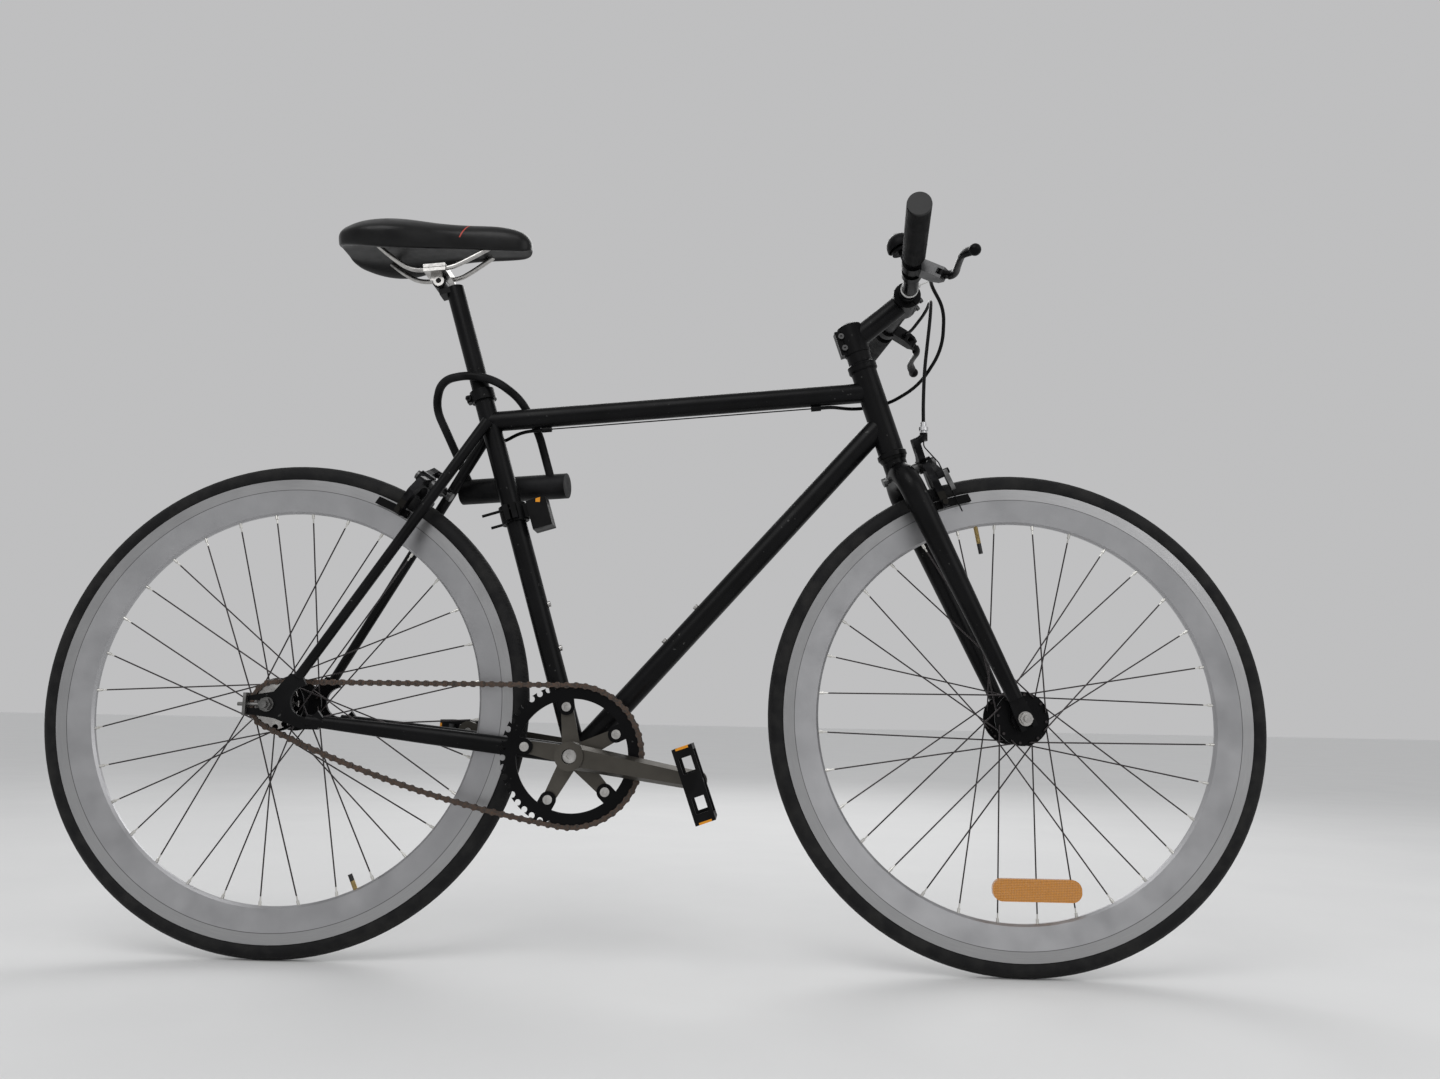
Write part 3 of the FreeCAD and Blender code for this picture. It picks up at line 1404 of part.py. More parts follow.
def pedal_centre(side):
    """The pedal axle's point in the mid plane: right crank forward, left crank opposite."""
    angle = size("crank_angle") if side < 0 else size("crank_angle") + 180
    return BRACKET + on_wheel(size("crank_length"), angle, 0)


def crank_shape(side):
    tip = pedal_centre(side)
    way = (tip - BRACKET).normalize()
    upright = way.cross(Y_AXIS)
    inner = side * abs(CRANK_INNER_FACE)
    outer = side * (abs(CRANK_INNER_FACE) + size("crank_boss_width"))
    boss = bar_shape(BRACKET + Y_AXIS * inner, BRACKET + Y_AXIS * outer, size("crank_boss_radius"))
    eye_outer = side * size("crank_offset")
    eye_inner = side * (size("crank_offset") - size("crank_eye_thickness"))
    eye = bar_shape(tip + Y_AXIS * eye_inner, tip + Y_AXIS * eye_outer, size("crank_eye_radius"))
    root_face = outer - side * (ARM_THICKNESS + 4)
    sections = []
    for centre, face, width in (
        (BRACKET, root_face, ARM_ROOT_WIDTH), (tip, eye_inner + side * 0.5, ARM_TIP_WIDTH),
    ):
        low = centre + Y_AXIS * face
        high = low + Y_AXIS * (side * ARM_THICKNESS)
        wide = upright * (width / 2)
        slim = upright * (width / 2 - 5)
        corners = [low - wide, high - slim, high + slim, low + wide]
        sections.append(Part.makePolygon(corners + corners[:1]))
    arm = Part.makeLoft(sections, True, True)
    pieces = [arm, eye]
    if side < 0:
        pieces.extend(spider_arm(angle) for angle in SPIDER_ANGLES)
    spindle = bar_shape(
        BRACKET - Y_AXIS * size("crank_offset") * 2, BRACKET + Y_AXIS * size("crank_offset") * 2,
        size("spindle_radius"),
    )
    pocket = bar_shape(
        BRACKET + Y_AXIS * (outer - side * CRANK_BOLT_DEPTH), BRACKET + Y_AXIS * (outer + side),
        CRANK_BOLT_RADIUS,
    )
    thread = bar_shape(
        tip + Y_AXIS * (eye_inner - side), tip + Y_AXIS * (eye_outer + side), size("pedal_axle_radius")
    )
    drills = [spindle, pocket, thread]
    if side < 0:
        drills.extend(
            bar_shape(bolt_spot(a, RING_OUTER_FACE), bolt_spot(a, 0), size("ring_bolt_radius"))
            for a in SPIDER_ANGLES
        )
    return boss.fuse(pieces).cut(drills).removeSplitter()


def spider_arm(angle):
    """A tapered arm from the boss to one chainring bolt, behind the ring's tab."""
    thickness = size("spider_thickness")
    face = RING_INNER_FACE
    outward = on_wheel(1, angle, 0)
    across = outward.cross(Y_AXIS)
    root = BRACKET + Y_AXIS * face
    tip = root + outward * (size("bolt_circle") / 2)
    outline = [root + across * 13, tip + across * 8, tip - across * 8, root - across * 13]
    arm = plate_shape(outline, thickness, Y_AXIS)
    return arm.fuse(Part.makeCylinder(9, thickness, tip, Y_AXIS))


CRANK_BOLT_DEPTH = 12
CRANK_BOLT_RADIUS = 10

node(feature("right_crank", crank_shape(-1)), "right_crank")
node(feature("left_crank", crank_shape(1)), "left_crank")

# Spindle with its two bolts, and the two pedal axles
PEDAL_START = size("crank_offset") + size("pedal_gap")


def crank_axle_shapes():
    shapes = []
    boss_outer = abs(CRANK_INNER_FACE) + size("crank_boss_width")
    spindle_end = boss_outer - CRANK_BOLT_DEPTH
    shapes.append(bar_shape(
        BRACKET - Y_AXIS * spindle_end, BRACKET + Y_AXIS * spindle_end, size("spindle_radius")
    ))
    for side in (1, -1):
        seat = BRACKET + Y_AXIS * (side * spindle_end)
        head = Part.makeCylinder(CRANK_BOLT_RADIUS - 1, 6, seat, Y_AXIS * side)
        socket = Part.makeCylinder(4, 4, seat + Y_AXIS * (side * 3), Y_AXIS * side)
        shapes.append(head.cut(socket))
        tip = pedal_centre(side)
        eye_inner = size("crank_offset") - size("crank_eye_thickness")
        far = PEDAL_START + size("pedal_width")
        axle = bar_shape(
            tip + Y_AXIS * (side * eye_inner), tip + Y_AXIS * (side * (far - 6)), size("pedal_axle_radius")
        )
        collar = bar_shape(
            tip + Y_AXIS * (side * size("crank_offset")),
            tip + Y_AXIS * (side * (PEDAL_START - size("fit_gap"))), size("pedal_axle_radius") + 3,
        )
        shapes.append(axle.fuse(collar))
    return shapes


node(feature("crank_axles", Part.makeCompound(crank_axle_shapes())), "crank_axles")


# Pedals: barrel on the axle, two end plates with windows, two tread bars with reflectors
def pedal_shape(side):
    """Built flat about its axle, then tilted as it hangs."""
    half_length = size("pedal_length") / 2
    half_thick = size("pedal_thickness") / 2
    plate = size("pedal_plate")
    width = size("pedal_width")
    frame_bar = 5

    def block(x_low, x_high, y_low, y_high, z_low, z_high):
        return Part.makeBox(x_high - x_low, y_high - y_low, z_high - z_low, V(x_low, y_low, z_low))

    barrel = Part.makeCylinder(size("pedal_barrel_radius"), width, V(0, 0, 0), Y_AXIS)
    pieces = []
    for y_low in (0, width - plate):
        cage = block(-half_length, half_length, y_low, y_low + plate, -half_thick, half_thick)
        inside = half_thick - frame_bar
        windows = [
            block(x_low, x_low + 20, y_low, y_low + plate, -inside, inside)
            for x_low in (size("pedal_barrel_radius") + 4, -size("pedal_barrel_radius") - 24)
        ]
        pieces.append(cage.cut(windows))
    for end in (1, -1):
        x_low = half_length - 7 if end > 0 else -half_length
        tread = block(x_low, x_low + 7, 0, width, -half_thick, half_thick)
        inset = half_length - 3 if end > 0 else -half_length
        pocket = block(inset, inset + 3, 12, width - 12, -8, 8)
        pieces.append(tread.cut(pocket))
    far = width - size("grip_end_thickness")
    bore = Part.makeCylinder(
        size("pedal_axle_radius") + size("running_clearance"), far, V(0, 0, 0), Y_AXIS
    )
    cage = barrel.fuse(pieces).cut(bore).removeSplitter()
    reflectors = []
    for end in (1, -1):
        inset = half_length - 3 if end > 0 else -half_length
        reflectors.append(block(inset, inset + 3, 12, width - 12, -8, 8))
    whole = Part.makeCompound([cage, *reflectors])
    if side < 0:
        whole = mirrored(whole)
    whole.rotate(V(0, 0, 0), Y_AXIS, size("right_pedal_tilt" if side < 0 else "left_pedal_tilt"))
    whole.translate(pedal_centre(side) + Y_AXIS * (side * PEDAL_START))
    return whole


node(feature("right_pedal", pedal_shape(-1)), "right_pedal")
node(feature("left_pedal", pedal_shape(1)), "left_pedal")

# Stem: split clamp on the steerer, tube, and bar clamp with a separate face plate
STEM_MIDDLE = head_point((STEM_BOTTOM + STEM_TOP) / 2)
STEM_TILT = math.radians(size("stem_rise"))
STEM_WAY = HEAD_FORWARD * math.cos(STEM_TILT) + HEAD_UP * math.sin(STEM_TILT)
STEM_NORMAL = HEAD_UP * math.cos(STEM_TILT) - HEAD_FORWARD * math.sin(STEM_TILT)
BAR_CENTRE = STEM_MIDDLE + STEM_WAY * size("stem_length")
FACE_BOLT_RADIUS = 2.5
BOLT_HEAD_EXTRA = 1.7
FACE_BOLT_ACROSS = 15
FACE_BOLT_UP = 16.5
REAR_BOLT_BACK = 17


def stem_shapes():
    """The stem's body, and its face plate beyond the split through the bar."""
    clamp_radius = size("stem_clamp_diameter") / 2
    clamp = bar_shape(head_point(STEM_BOTTOM), head_point(STEM_TOP), clamp_radius)
    tube = bar_shape(STEM_MIDDLE, BAR_CENTRE, size("stem_tube_diameter") / 2)
    half_face = Y_AXIS * (size("stem_face_width") / 2)
    face = bar_shape(BAR_CENTRE - half_face, BAR_CENTRE + half_face, size("stem_face_diameter") / 2)
    lug = box_shape(
        axes_placement(head_point(STEM_BOTTOM), HEAD_FORWARD, Y_AXIS), V(-REAR_BOLT_BACK - 7, -9, 2),
        V(0, 9, size("stem_clamp_height") - 2),
    )
    steerer = bar_shape(head_point(STEM_BOTTOM), head_point(STEM_TOP), size("steerer_diameter") / 2)
    bar = bar_shape(BAR_CENTRE - half_face, BAR_CENTRE + half_face, size("bar_clamp_diameter") / 2)
    slot = box_shape(
        axes_placement(head_point(STEM_BOTTOM), HEAD_FORWARD, Y_AXIS), V(-60, -size("stem_split") / 2, -1),
        V(0, size("stem_split") / 2, size("stem_clamp_height") + 1),
    )
    whole = clamp.fuse([tube, face, lug]).cut([steerer, bar, slot])
    split = axes_placement(BAR_CENTRE, STEM_WAY, Y_AXIS)
    reach = size("stem_face_diameter")
    front = box_shape(split, V(-size("stem_split") / 2, -reach, -reach), V(reach, reach, reach))
    cap = box_shape(split, V(size("stem_split") / 2, -reach, -reach), V(reach, reach, reach))
    cap_room = bar_shape(head_point(STEM_TOP), head_point(STEM_TOP + clamp_radius), clamp_radius)
    drills = []
    for start, end in face_bolt_lines() + rear_bolt_lines():
        way = (end - start).normalize()
        drills.append(bar_shape(start, end, FACE_BOLT_RADIUS))
        drills.append(bar_shape(end, end + way * clamp_radius, FACE_BOLT_RADIUS + BOLT_HEAD_EXTRA))
    body = whole.cut([front, cap_room, *drills])
    plate = face.cut(bar).common(cap).cut(drills)
    return [max(body.Solids, key=lambda solid: solid.Volume), plate]


def face_bolt_lines():
    """Four bolts from the face plate's front into the stem."""
    lines = []
    for across in (1, -1):
        for upward in (1, -1):
            spot = BAR_CENTRE + Y_AXIS * (across * FACE_BOLT_ACROSS) + STEM_NORMAL * (upward * FACE_BOLT_UP)
            lines.append((spot - STEM_WAY * 8, spot + STEM_WAY * 10))
    return lines


def rear_bolt_lines():
    """Two bolts across the clamp's split behind the steerer."""
    lines = []
    for level in (0.28, 0.72):
        spot = head_point(STEM_BOTTOM + level * size("stem_clamp_height")) - HEAD_FORWARD * REAR_BOLT_BACK
        lines.append((spot + Y_AXIS * 8, spot - Y_AXIS * 9))
    return lines


def socket_bolt(start, end, radius, head_height=4):
    """A bolt whose socket head sits at the line's far end."""
    way = (end - start).normalize()
    head = Part.makeCylinder(radius + BOLT_HEAD_EXTRA, head_height, end, way)
    socket = Part.makeCylinder(radius * 0.6, head_height * 0.7, end + way * (head_height * 0.3), way)
    return bar_shape(start, end, radius).fuse(head).cut(socket)


node(feature("stem", Part.makeCompound(stem_shapes())), "stem")
stem_bolts = [socket_bolt(a, b, FACE_BOLT_RADIUS) for a, b in face_bolt_lines() + rear_bolt_lines()]
node(feature("stem_bolts", Part.makeCompound(stem_bolts)), "stem_bolts")

# Flat handlebar swept back, with grips
BAR_END = V(-size("bar_back_sweep"), size("bar_half_width"), size("bar_rise"))
BAR_BEND = V(0, size("bar_straight"), 0)


def bar_way(side):
    way = (BAR_END - BAR_BEND).normalize()
    return V(way.x, way.y * side, way.z)


def bar_point(side, distance):
    """A point on the bar's axis, in from its left (1) or right (-1) end."""
    return BAR_CENTRE + V(BAR_END.x, BAR_END.y * side, BAR_END.z) - bar_way(side) * distance


def handlebar_shape():
    route = [
        bar_point(1, 0), BAR_CENTRE + BAR_BEND,
        BAR_CENTRE + V(BAR_BEND.x, -BAR_BEND.y, BAR_BEND.z), bar_point(-1, 0),
    ]
    radius = size("bar_diameter") / 2
    outside = swept(route, radius, size("bar_bend_radius"))
    inside = swept(route, radius - size("bar_wall"), size("bar_bend_radius"))
    half = Y_AXIS * (size("bar_clamp_width") / 2)
    bulge = bar_shape(BAR_CENTRE - half, BAR_CENTRE + half, size("bar_clamp_diameter") / 2)
    return outside.fuse(bulge).cut(inside).removeSplitter()


def grip_pieces(side):
    """A rubber sleeve over the bar's end, and the plug that closes it."""
    end = bar_point(side, 0)
    inner = bar_point(side, size("grip_length"))
    sleeve = bar_shape(inner, end + bar_way(side) * size("grip_end_thickness"), size("grip_diameter") / 2)
    sleeve = sleeve.cut(bar_shape(inner, end, size("bar_diameter") / 2))
    plug_start = end + bar_way(side) * size("grip_end_thickness")
    plug = Part.makeCylinder(size("grip_diameter") / 2 - 0.5, 2.5, plug_start, bar_way(side))
    return [sleeve, plug]


node(feature("handlebar", handlebar_shape()), "handlebar")
node(feature("grips", Part.makeCompound(grip_pieces(1) + grip_pieces(-1))), "grips")


# Brake levers: bracket with clamp ring, pin, and the curved blade that turns on it
def lever_axes(side):
    """The lever's own axes: out along the bar, forward at the set angle, and square to both."""
    outward = bar_way(side)
    level = (X_AXIS - outward * X_AXIS.dot(outward)).normalize()
    upward = V(0, 0, 1)
    upward = (upward - outward * upward.dot(outward) - level * upward.dot(level)).normalize()
    angle = math.radians(size("right_lever_angle" if side < 0 else "left_lever_angle"))
    forward = level * math.cos(angle) + upward * math.sin(angle)
    square = upward * math.cos(angle) - level * math.sin(angle)
    return outward, forward, square


def lever_spot(side, out, ahead, above=0):
    outward, forward, square = lever_axes(side)
    origin = bar_point(side, size("lever_distance"))
    return origin + outward * out + forward * ahead + square * above


LEVER_PIVOT_OUT = 2
EAR_THICKNESS = 4
CLAMP_WALL = 4
CLAMP_HALF = 8
CABLE_SEAT = (-19, 27)
CABLE_END_GAP = 0.75


def lever_bracket_shape(side):
    """Clamp ring on the bar, body, two ears round the lever's root, cable seat and pivot pin."""
    outward, forward, square = lever_axes(side)
    origin = bar_point(side, size("lever_distance"))
    ring_radius = size("bar_diameter") / 2 + CLAMP_WALL
    collar = bar_shape(origin - outward * CLAMP_HALF, origin + outward * CLAMP_HALF, ring_radius)
    bore = bar_shape(origin - outward * 20, origin + outward * 20, size("bar_diameter") / 2)
    half_root = size("lever_root_height") / 2 + size("fit_gap")
    half_body = half_root + EAR_THICKNESS
    reach = size("lever_reach")
    root = size("lever_root_radius")
    outline = []
    for out, ahead in ((-14, 8), (9, 8), (9, reach), (LEVER_PIVOT_OUT, reach + root), (-8, reach), (-14, 30)):
        outline.append(lever_spot(side, out, ahead, -half_body))
    body = plate_shape(outline, 2 * half_body, square)
    slot_outline = []
    slot_floor = reach - root - size("lever_slot_room")
    slot_mouth = reach + 40
    for out, ahead in ((-30, slot_floor), (30, slot_floor), (30, slot_mouth), (-30, slot_mouth)):
        slot_outline.append(lever_spot(side, out, ahead, -half_root))
    slot = plate_shape(slot_outline, 2 * half_root, square)
    seat_start = lever_spot(side, -13, CABLE_SEAT[1])
    seat_end = lever_spot(side, CABLE_SEAT[0], CABLE_SEAT[1])
    seat = bar_shape(seat_start, seat_end, size("housing_radius") + 1.5)
    pin = bar_shape(
        lever_spot(side, LEVER_PIVOT_OUT, reach, -half_body),
        lever_spot(side, LEVER_PIVOT_OUT, reach, half_body),
        size("lever_pin_radius"),
    )
    return collar.fuse([body, seat]).cut([bore, slot]).fuse(pin).removeSplitter()


def lever_shape(side):
    """Root on the pin, then a blade that bows out along the grip and curls at its tip."""
    outward, forward, square = lever_axes(side)
    reach = size("lever_reach")
    length = size("lever_length")
    route = [
        lever_spot(side, LEVER_PIVOT_OUT, reach), lever_spot(side, 18, reach + 18),
        lever_spot(side, 0.55 * length, reach + 19), lever_spot(side, 0.9 * length, reach + 22),
        lever_spot(side, length + 12, reach + 36),
    ]
    path, _ = rounded_path(route)
    way = (route[1] - route[0]).normalize()
    wide = square * size("lever_blade_half_height")
    thick = square.cross(way) * size("lever_blade_half_thickness")
    section = Part.Ellipse(route[0] + wide, route[0] + thick, route[0])
    blade = path.makePipeShell([Part.Wire(section.toShape())], True, False)
    half = size("lever_root_height") / 2
    centre = lever_spot(side, LEVER_PIVOT_OUT, reach, -half)
    root = Part.makeCylinder(size("lever_root_radius"), 2 * half, centre, square)
    slab = plate_shape(
        [
            lever_spot(side, out, ahead, -half)
            for out, ahead in ((-60, -60), (200, -60), (200, 200), (-60, 200))
        ],
        2 * half, square,
    )
    near_pin = Part.makeCylinder(size("lever_root_radius") + 9, 60, centre - square * 30, square)
    blade = blade.cut(near_pin.cut(slab))
    ball = Part.makeSphere(size("lever_tip_radius"), route[-1])
    bore = Part.makeCylinder(
        size("lever_pin_radius") + size("running_clearance"), 60, centre - square * 30, square
    )
    whole = blade.fuse([root, ball]).cut(bore)
    return max(whole.Solids, key=lambda solid: solid.Volume)


both_brackets = Part.makeCompound([lever_bracket_shape(1), lever_bracket_shape(-1)])
node(feature("lever_brackets", both_brackets), "lever_brackets")
node(feature("right_lever", lever_shape(-1)), "right_lever")
node(feature("left_lever", lever_shape(1)), "left_lever")

# Bell on the right of the stem: clamp, base, dome, and a sprung striker
BELL_LIFT = 36
BELL_TILT = math.radians(-22)
BELL_UP = V(math.sin(BELL_TILT), 0, math.cos(BELL_TILT))
STRIKER_PIN_RADIUS = 1.5
BELL_SPINDLE_RADIUS = 3
BELL_GAP = 2


def bell_spot(ahead, across, lift):
    """A point by the bell: ahead and across its axis, and up from the bar's axis."""
    origin = bar_point(-1, size("bell_distance"))
    forward = Y_AXIS.cross(BELL_UP)
    return origin + forward * ahead + Y_AXIS * across + BELL_UP * lift


def bell_shapes():
    outward = bar_way(-1)
    origin = bar_point(-1, size("bell_distance"))
    bar_radius = size("bar_diameter") / 2
    collar = bar_shape(origin - outward * 6, origin + outward * 6, bar_radius + 3)
    post = bar_shape(origin, bell_spot(0, 0, BELL_LIFT), 6)
    base = bar_shape(bell_spot(0, 0, BELL_LIFT - 4), bell_spot(0, 0, BELL_LIFT), size("bell_radius") - 4)
    ear = bar_shape(bell_spot(16, 0, BELL_LIFT - 4), bell_spot(16, 0, BELL_LIFT), 4)
    dome_top = BELL_LIFT + BELL_GAP + size("bell_height")
    spindle = bar_shape(bell_spot(0, 0, BELL_LIFT), bell_spot(0, 0, dome_top + 1), BELL_SPINDLE_RADIUS)
    pin = bar_shape(bell_spot(16, 0, BELL_LIFT - 10), bell_spot(16, 0, BELL_LIFT - 4), STRIKER_PIN_RADIUS)
    bore = bar_shape(origin - outward * 10, origin + outward * 10, bar_radius)
    mount = collar.fuse([post, base, ear, spindle, pin]).cut(bore)
    return [mount.removeSplitter(), bell_dome()]


def bell_dome():
    """A thin round cup, open below, held on the spindle through its top."""
    radius = size("bell_radius")
    height = size("bell_height")
    wall = size("bell_wall")
    hole = BELL_SPINDLE_RADIUS
    inside = [
        V(hole, 0, height - wall), V((radius - wall) * 0.78, 0, (height - wall) * 0.68),
        V(radius - wall, 0, 0),
    ]
    outside = [V(radius, 0, 0), V(radius * 0.78, 0, height * 0.7), V(hole, 0, height)]
    profile = [
        Part.LineSegment(outside[-1], inside[0]).toShape(),
        Part.Arc(*inside).toShape(),
        Part.LineSegment(inside[-1], outside[0]).toShape(),
        Part.Arc(*outside).toShape(),
    ]
    dome = Part.Face(Part.Wire(profile)).revolve(V(0, 0, 0), Z_AXIS, 360)
    dome.Placement = along(bell_spot(0, 0, BELL_LIFT + BELL_GAP), BELL_UP)
    return dome


def striker_shape():
    """A small lever under the bell's base, with a thumb tab."""
    low = bell_spot(16, 0, BELL_LIFT - 8)
    hub = Part.makeCylinder(4, 3.5, low, BELL_UP)
    forward = Y_AXIS.cross(BELL_UP)
    across = Y_AXIS * 4
    outline = [low + across, low - across, low - across + forward * 18, low + across + forward * 18]
    tab = plate_shape(outline, 3.5, BELL_UP)
    bore = Part.makeCylinder(STRIKER_PIN_RADIUS + size("running_clearance"), 3.5, low, BELL_UP)
    return hub.fuse(tab).cut(bore).removeSplitter()


node(feature("bell", Part.makeCompound(bell_shapes())), "bell")
node(feature("bell_striker", striker_shape()), "bell_striker")


# Side-pull brakes: bolt, two arms in two layers, shoes on the rim, adjuster, anchor and release lever
class Brake:
    """The places of one brake, measured across, up from its bolt, and in layers out from the frame.

    Its cable runs on the negative side, which is the bike's right if the hand is 1 and left if it is -1.
    """

    def __init__(
        self, seat, outward, upward, hub, seat_depth, spacer, barrel_spot, barrel_way, hand, cable_first
    ):
        self.seat = seat
        self.outward = outward
        self.upward = upward
        self.hub = hub
        self.seat_depth = seat_depth
        self.barrel_way = barrel_way
        self.hand = hand
        thickness = size("brake_arm_thickness")
        self.first_layer = seat_depth + spacer
        second = self.first_layer + thickness + size("fit_gap")
        self.end_layer = second + thickness
        self.cable_layer = self.first_layer if cable_first else second
        self.other_layer = second if cable_first else self.first_layer
        self.anchor_face = self.end_layer if cable_first else self.first_layer
        self.anchor_way = 1 if cable_first else -1
        self.barrel_across, self.barrel_up, self.barrel_layer = barrel_spot
        self.shoe_layer = second + SHOE_AHEAD

    def spot(self, across, above, layer):
        return self.seat + Y_AXIS * (across * self.hand) + self.upward * above + self.outward * layer

    def layer_of(self, side):
        return self.cable_layer if side < 0 else self.other_layer

    def side_name(self, side):
        return "left" if side * self.hand > 0 else "right"

    def barrel_foot(self):
        return self.spot(self.barrel_across, self.barrel_up, self.barrel_layer)

    def shoe_height(self, layer):
        """How far above the bolt the middle of the brake track lies, at a layer."""
        track = size("rim_outer_radius") - size("brake_track_height") / 2
        return math.sqrt(track ** 2 - layer ** 2) - (self.seat - self.hub).Length


SHOE_AHEAD = 8
ARM_WIDTH = 13
ARM_BOSS_RADIUS = 10
ARM_OFFSET = 7
BARREL_LENGTH = 15
BARREL_RADIUS = 4
BARREL_KNOB_RADIUS = 6.5
LUG_RADIUS = 5.5
ANCHOR_ACROSS = -32
ANCHOR_UP = -24
ANCHOR_RADIUS = 3
ANCHOR_LENGTH = 7
RELEASE_LENGTH = 24
RELEASE_WIDTH = 9
RELEASE_THICKNESS = 6
WIRE_BESIDE = 7
WIRE_BEND_RADIUS = 9
FRONT_WIRE_LEAD = 16
REAR_WIRE_LEAD = 4
WIRE_TAIL = 60

FRONT_BRAKE = Brake(
    CROWN, BLADE_FORWARD, BLADE_DOWN * -1, FRONT_HUB, size("crown_tube_diameter") / 2,
    size("front_brake_spacer"), (-30, 38, 51), Z_AXIS, 1, True,
)
REAR_BRAKE = Brake(
    BRIDGE, BRIDGE_BACK, BRIDGE_UP, REAR_HUB, size("bridge_diameter") / 2,
    size("rear_brake_spacer"), (-27, 24, 19), BRIDGE_UP, -1, False,
)


def brake_bolt_shape(brake, frame_piece):
    """The pivot bolt through the frame, with a spacer against the frame and a nut at each end."""
    radius = size("brake_bolt_radius")
    gap = size("fit_gap")
    back = -brake.seat_depth - 3
    shank = bar_shape(brake.spot(0, 0, back), brake.spot(0, 0, brake.end_layer + 6), radius)
    spacer = bar_shape(brake.spot(0, 0, 0), brake.spot(0, 0, brake.first_layer - gap), 2 * radius)
    frame_tube = bar_shape(
        brake.spot(-5 * radius, 0, 0), brake.spot(5 * radius, 0, 0), brake.seat_depth
    )
    nut_face = brake.end_layer + gap
    nut = bar_shape(brake.spot(0, 0, nut_face), brake.spot(0, 0, brake.end_layer + 5), radius + 3)
    rear_nut = bar_shape(brake.spot(0, 0, back), brake.spot(0, 0, back - 5), radius + 2.5)
    seated = spacer.cut([frame_tube, frame_piece.Shape])
    return shank.fuse([seated, nut, rear_nut]).removeSplitter()


def arm_shape(brake, side):
    """One arm plate round the tyre: a leg to its own shoe, and a tail to the cable."""
    thickness = size("brake_arm_thickness")
    layer = brake.layer_of(side)
    middle = layer + thickness / 2
    outside = shoe_faces(side)[1]
    leg = [
        brake.spot(0, 0, middle), brake.spot(side * 24, -6, middle), brake.spot(side * 31, -24, middle),
        brake.spot(outside + side * ARM_OFFSET, brake.shoe_height(middle), middle),
    ]
    if side < 0:
        tail = [
            brake.spot(0, 0, middle), brake.spot(-18, 10, middle),
            brake.spot(brake.barrel_across, brake.barrel_up - 8, middle),
        ]
    else:
        tail = [brake.spot(0, 0, middle), brake.spot(ANCHOR_ACROSS, ANCHOR_UP, middle)]
    plate = rounded_bar(leg, ARM_WIDTH, thickness, brake.outward)
    pieces = [rounded_bar(tail, ARM_WIDTH, thickness, brake.outward)]
    pieces.append(bar_shape(brake.spot(0, 0, layer), brake.spot(0, 0, layer + thickness), ARM_BOSS_RADIUS))
    drills = [bar_shape(
        brake.spot(0, 0, layer - 1), brake.spot(0, 0, layer + thickness + 1),
        size("brake_bolt_radius") + size("running_clearance"),
    )]
    if side < 0:
        foot = brake.barrel_foot()
        lug = brake.barrel_way * LUG_RADIUS
        pieces.append(bar_shape(tail[-1], foot - lug, LUG_RADIUS))
        pieces.append(bar_shape(foot - lug * 2, foot, LUG_RADIUS))
        drills.append(wire_hole(foot - lug * 3, foot + lug))
    return plate.fuse(pieces).cut(drills).removeSplitter()


def wire_hole(low, high):
    return bar_shape(low, high, size("wire_radius") + size("fit_gap"))


def shoe_faces(side):
    """The shoe's two faces across the bike: towards the rim and away from it."""
    inner = side * (size("rim_width") / 2 + size("shoe_gap"))
    return inner, inner + side * size("shoe_thickness")


def shoe_shapes(brake, side, arm):
    """The rubber block along the brake track, and the stub and nut that hold it on the arm."""
    inner, outer = shoe_faces(side)
    half_height = size("shoe_height") / 2
    half_length = size("shoe_length") / 2
    rows = []
    for layer in (brake.shoe_layer - half_length, brake.shoe_layer, brake.shoe_layer + half_length):
        rows.append((brake.shoe_height(layer), layer))
    outline = [brake.spot(inner, above - half_height, layer) for above, layer in rows]
    outline += [brake.spot(inner, above + half_height, layer) for above, layer in reversed(rows)]
    block = plate_shape(outline, size("shoe_thickness"), Y_AXIS * (side * brake.hand))
    middle = brake.layer_of(side) + size("brake_arm_thickness") / 2
    above = brake.shoe_height(middle)
    stub_end = outer + side * ARM_OFFSET
    stub = bar_shape(brake.spot(outer, above, middle), brake.spot(stub_end, above, middle), 3)
    nut_end = outer + side * (ARM_OFFSET + ARM_WIDTH / 2 + 3)
    nut = bar_shape(brake.spot(stub_end, above, middle), brake.spot(nut_end, above, middle), 4)
    return [block, stub.cut(arm), nut.cut(arm)]


def housing_end(brake):
    return brake.barrel_foot() + brake.barrel_way * BARREL_LENGTH


def barrel_shape(brake, arm):
    """The adjuster on the cable's own arm, which stops the housing."""
    foot = brake.barrel_foot()
    end = housing_end(brake)
    body = bar_shape(foot, end, BARREL_RADIUS)
    knob = bar_shape(foot + brake.barrel_way * 3, foot + brake.barrel_way * 8, BARREL_KNOB_RADIUS)
    return body.fuse(knob).cut([wire_hole(foot, end), arm]).removeSplitter()


def anchor_shape(brake, arm):
    """The cable's anchor bolt on the other arm's tail, whose stub carries the release lever."""
    end = brake.anchor_face + brake.anchor_way * ANCHOR_LENGTH
    cap = end + brake.anchor_way * 2
    stub = bar_shape(
        brake.spot(ANCHOR_ACROSS, ANCHOR_UP, brake.anchor_face), brake.spot(ANCHOR_ACROSS, ANCHOR_UP, end),
        ANCHOR_RADIUS,
    )
    head = bar_shape(
        brake.spot(ANCHOR_ACROSS, ANCHOR_UP, end), brake.spot(ANCHOR_ACROSS, ANCHOR_UP, cap),
        ANCHOR_RADIUS + 1.2
    )
    return stub.fuse(head).cut(arm).removeSplitter()


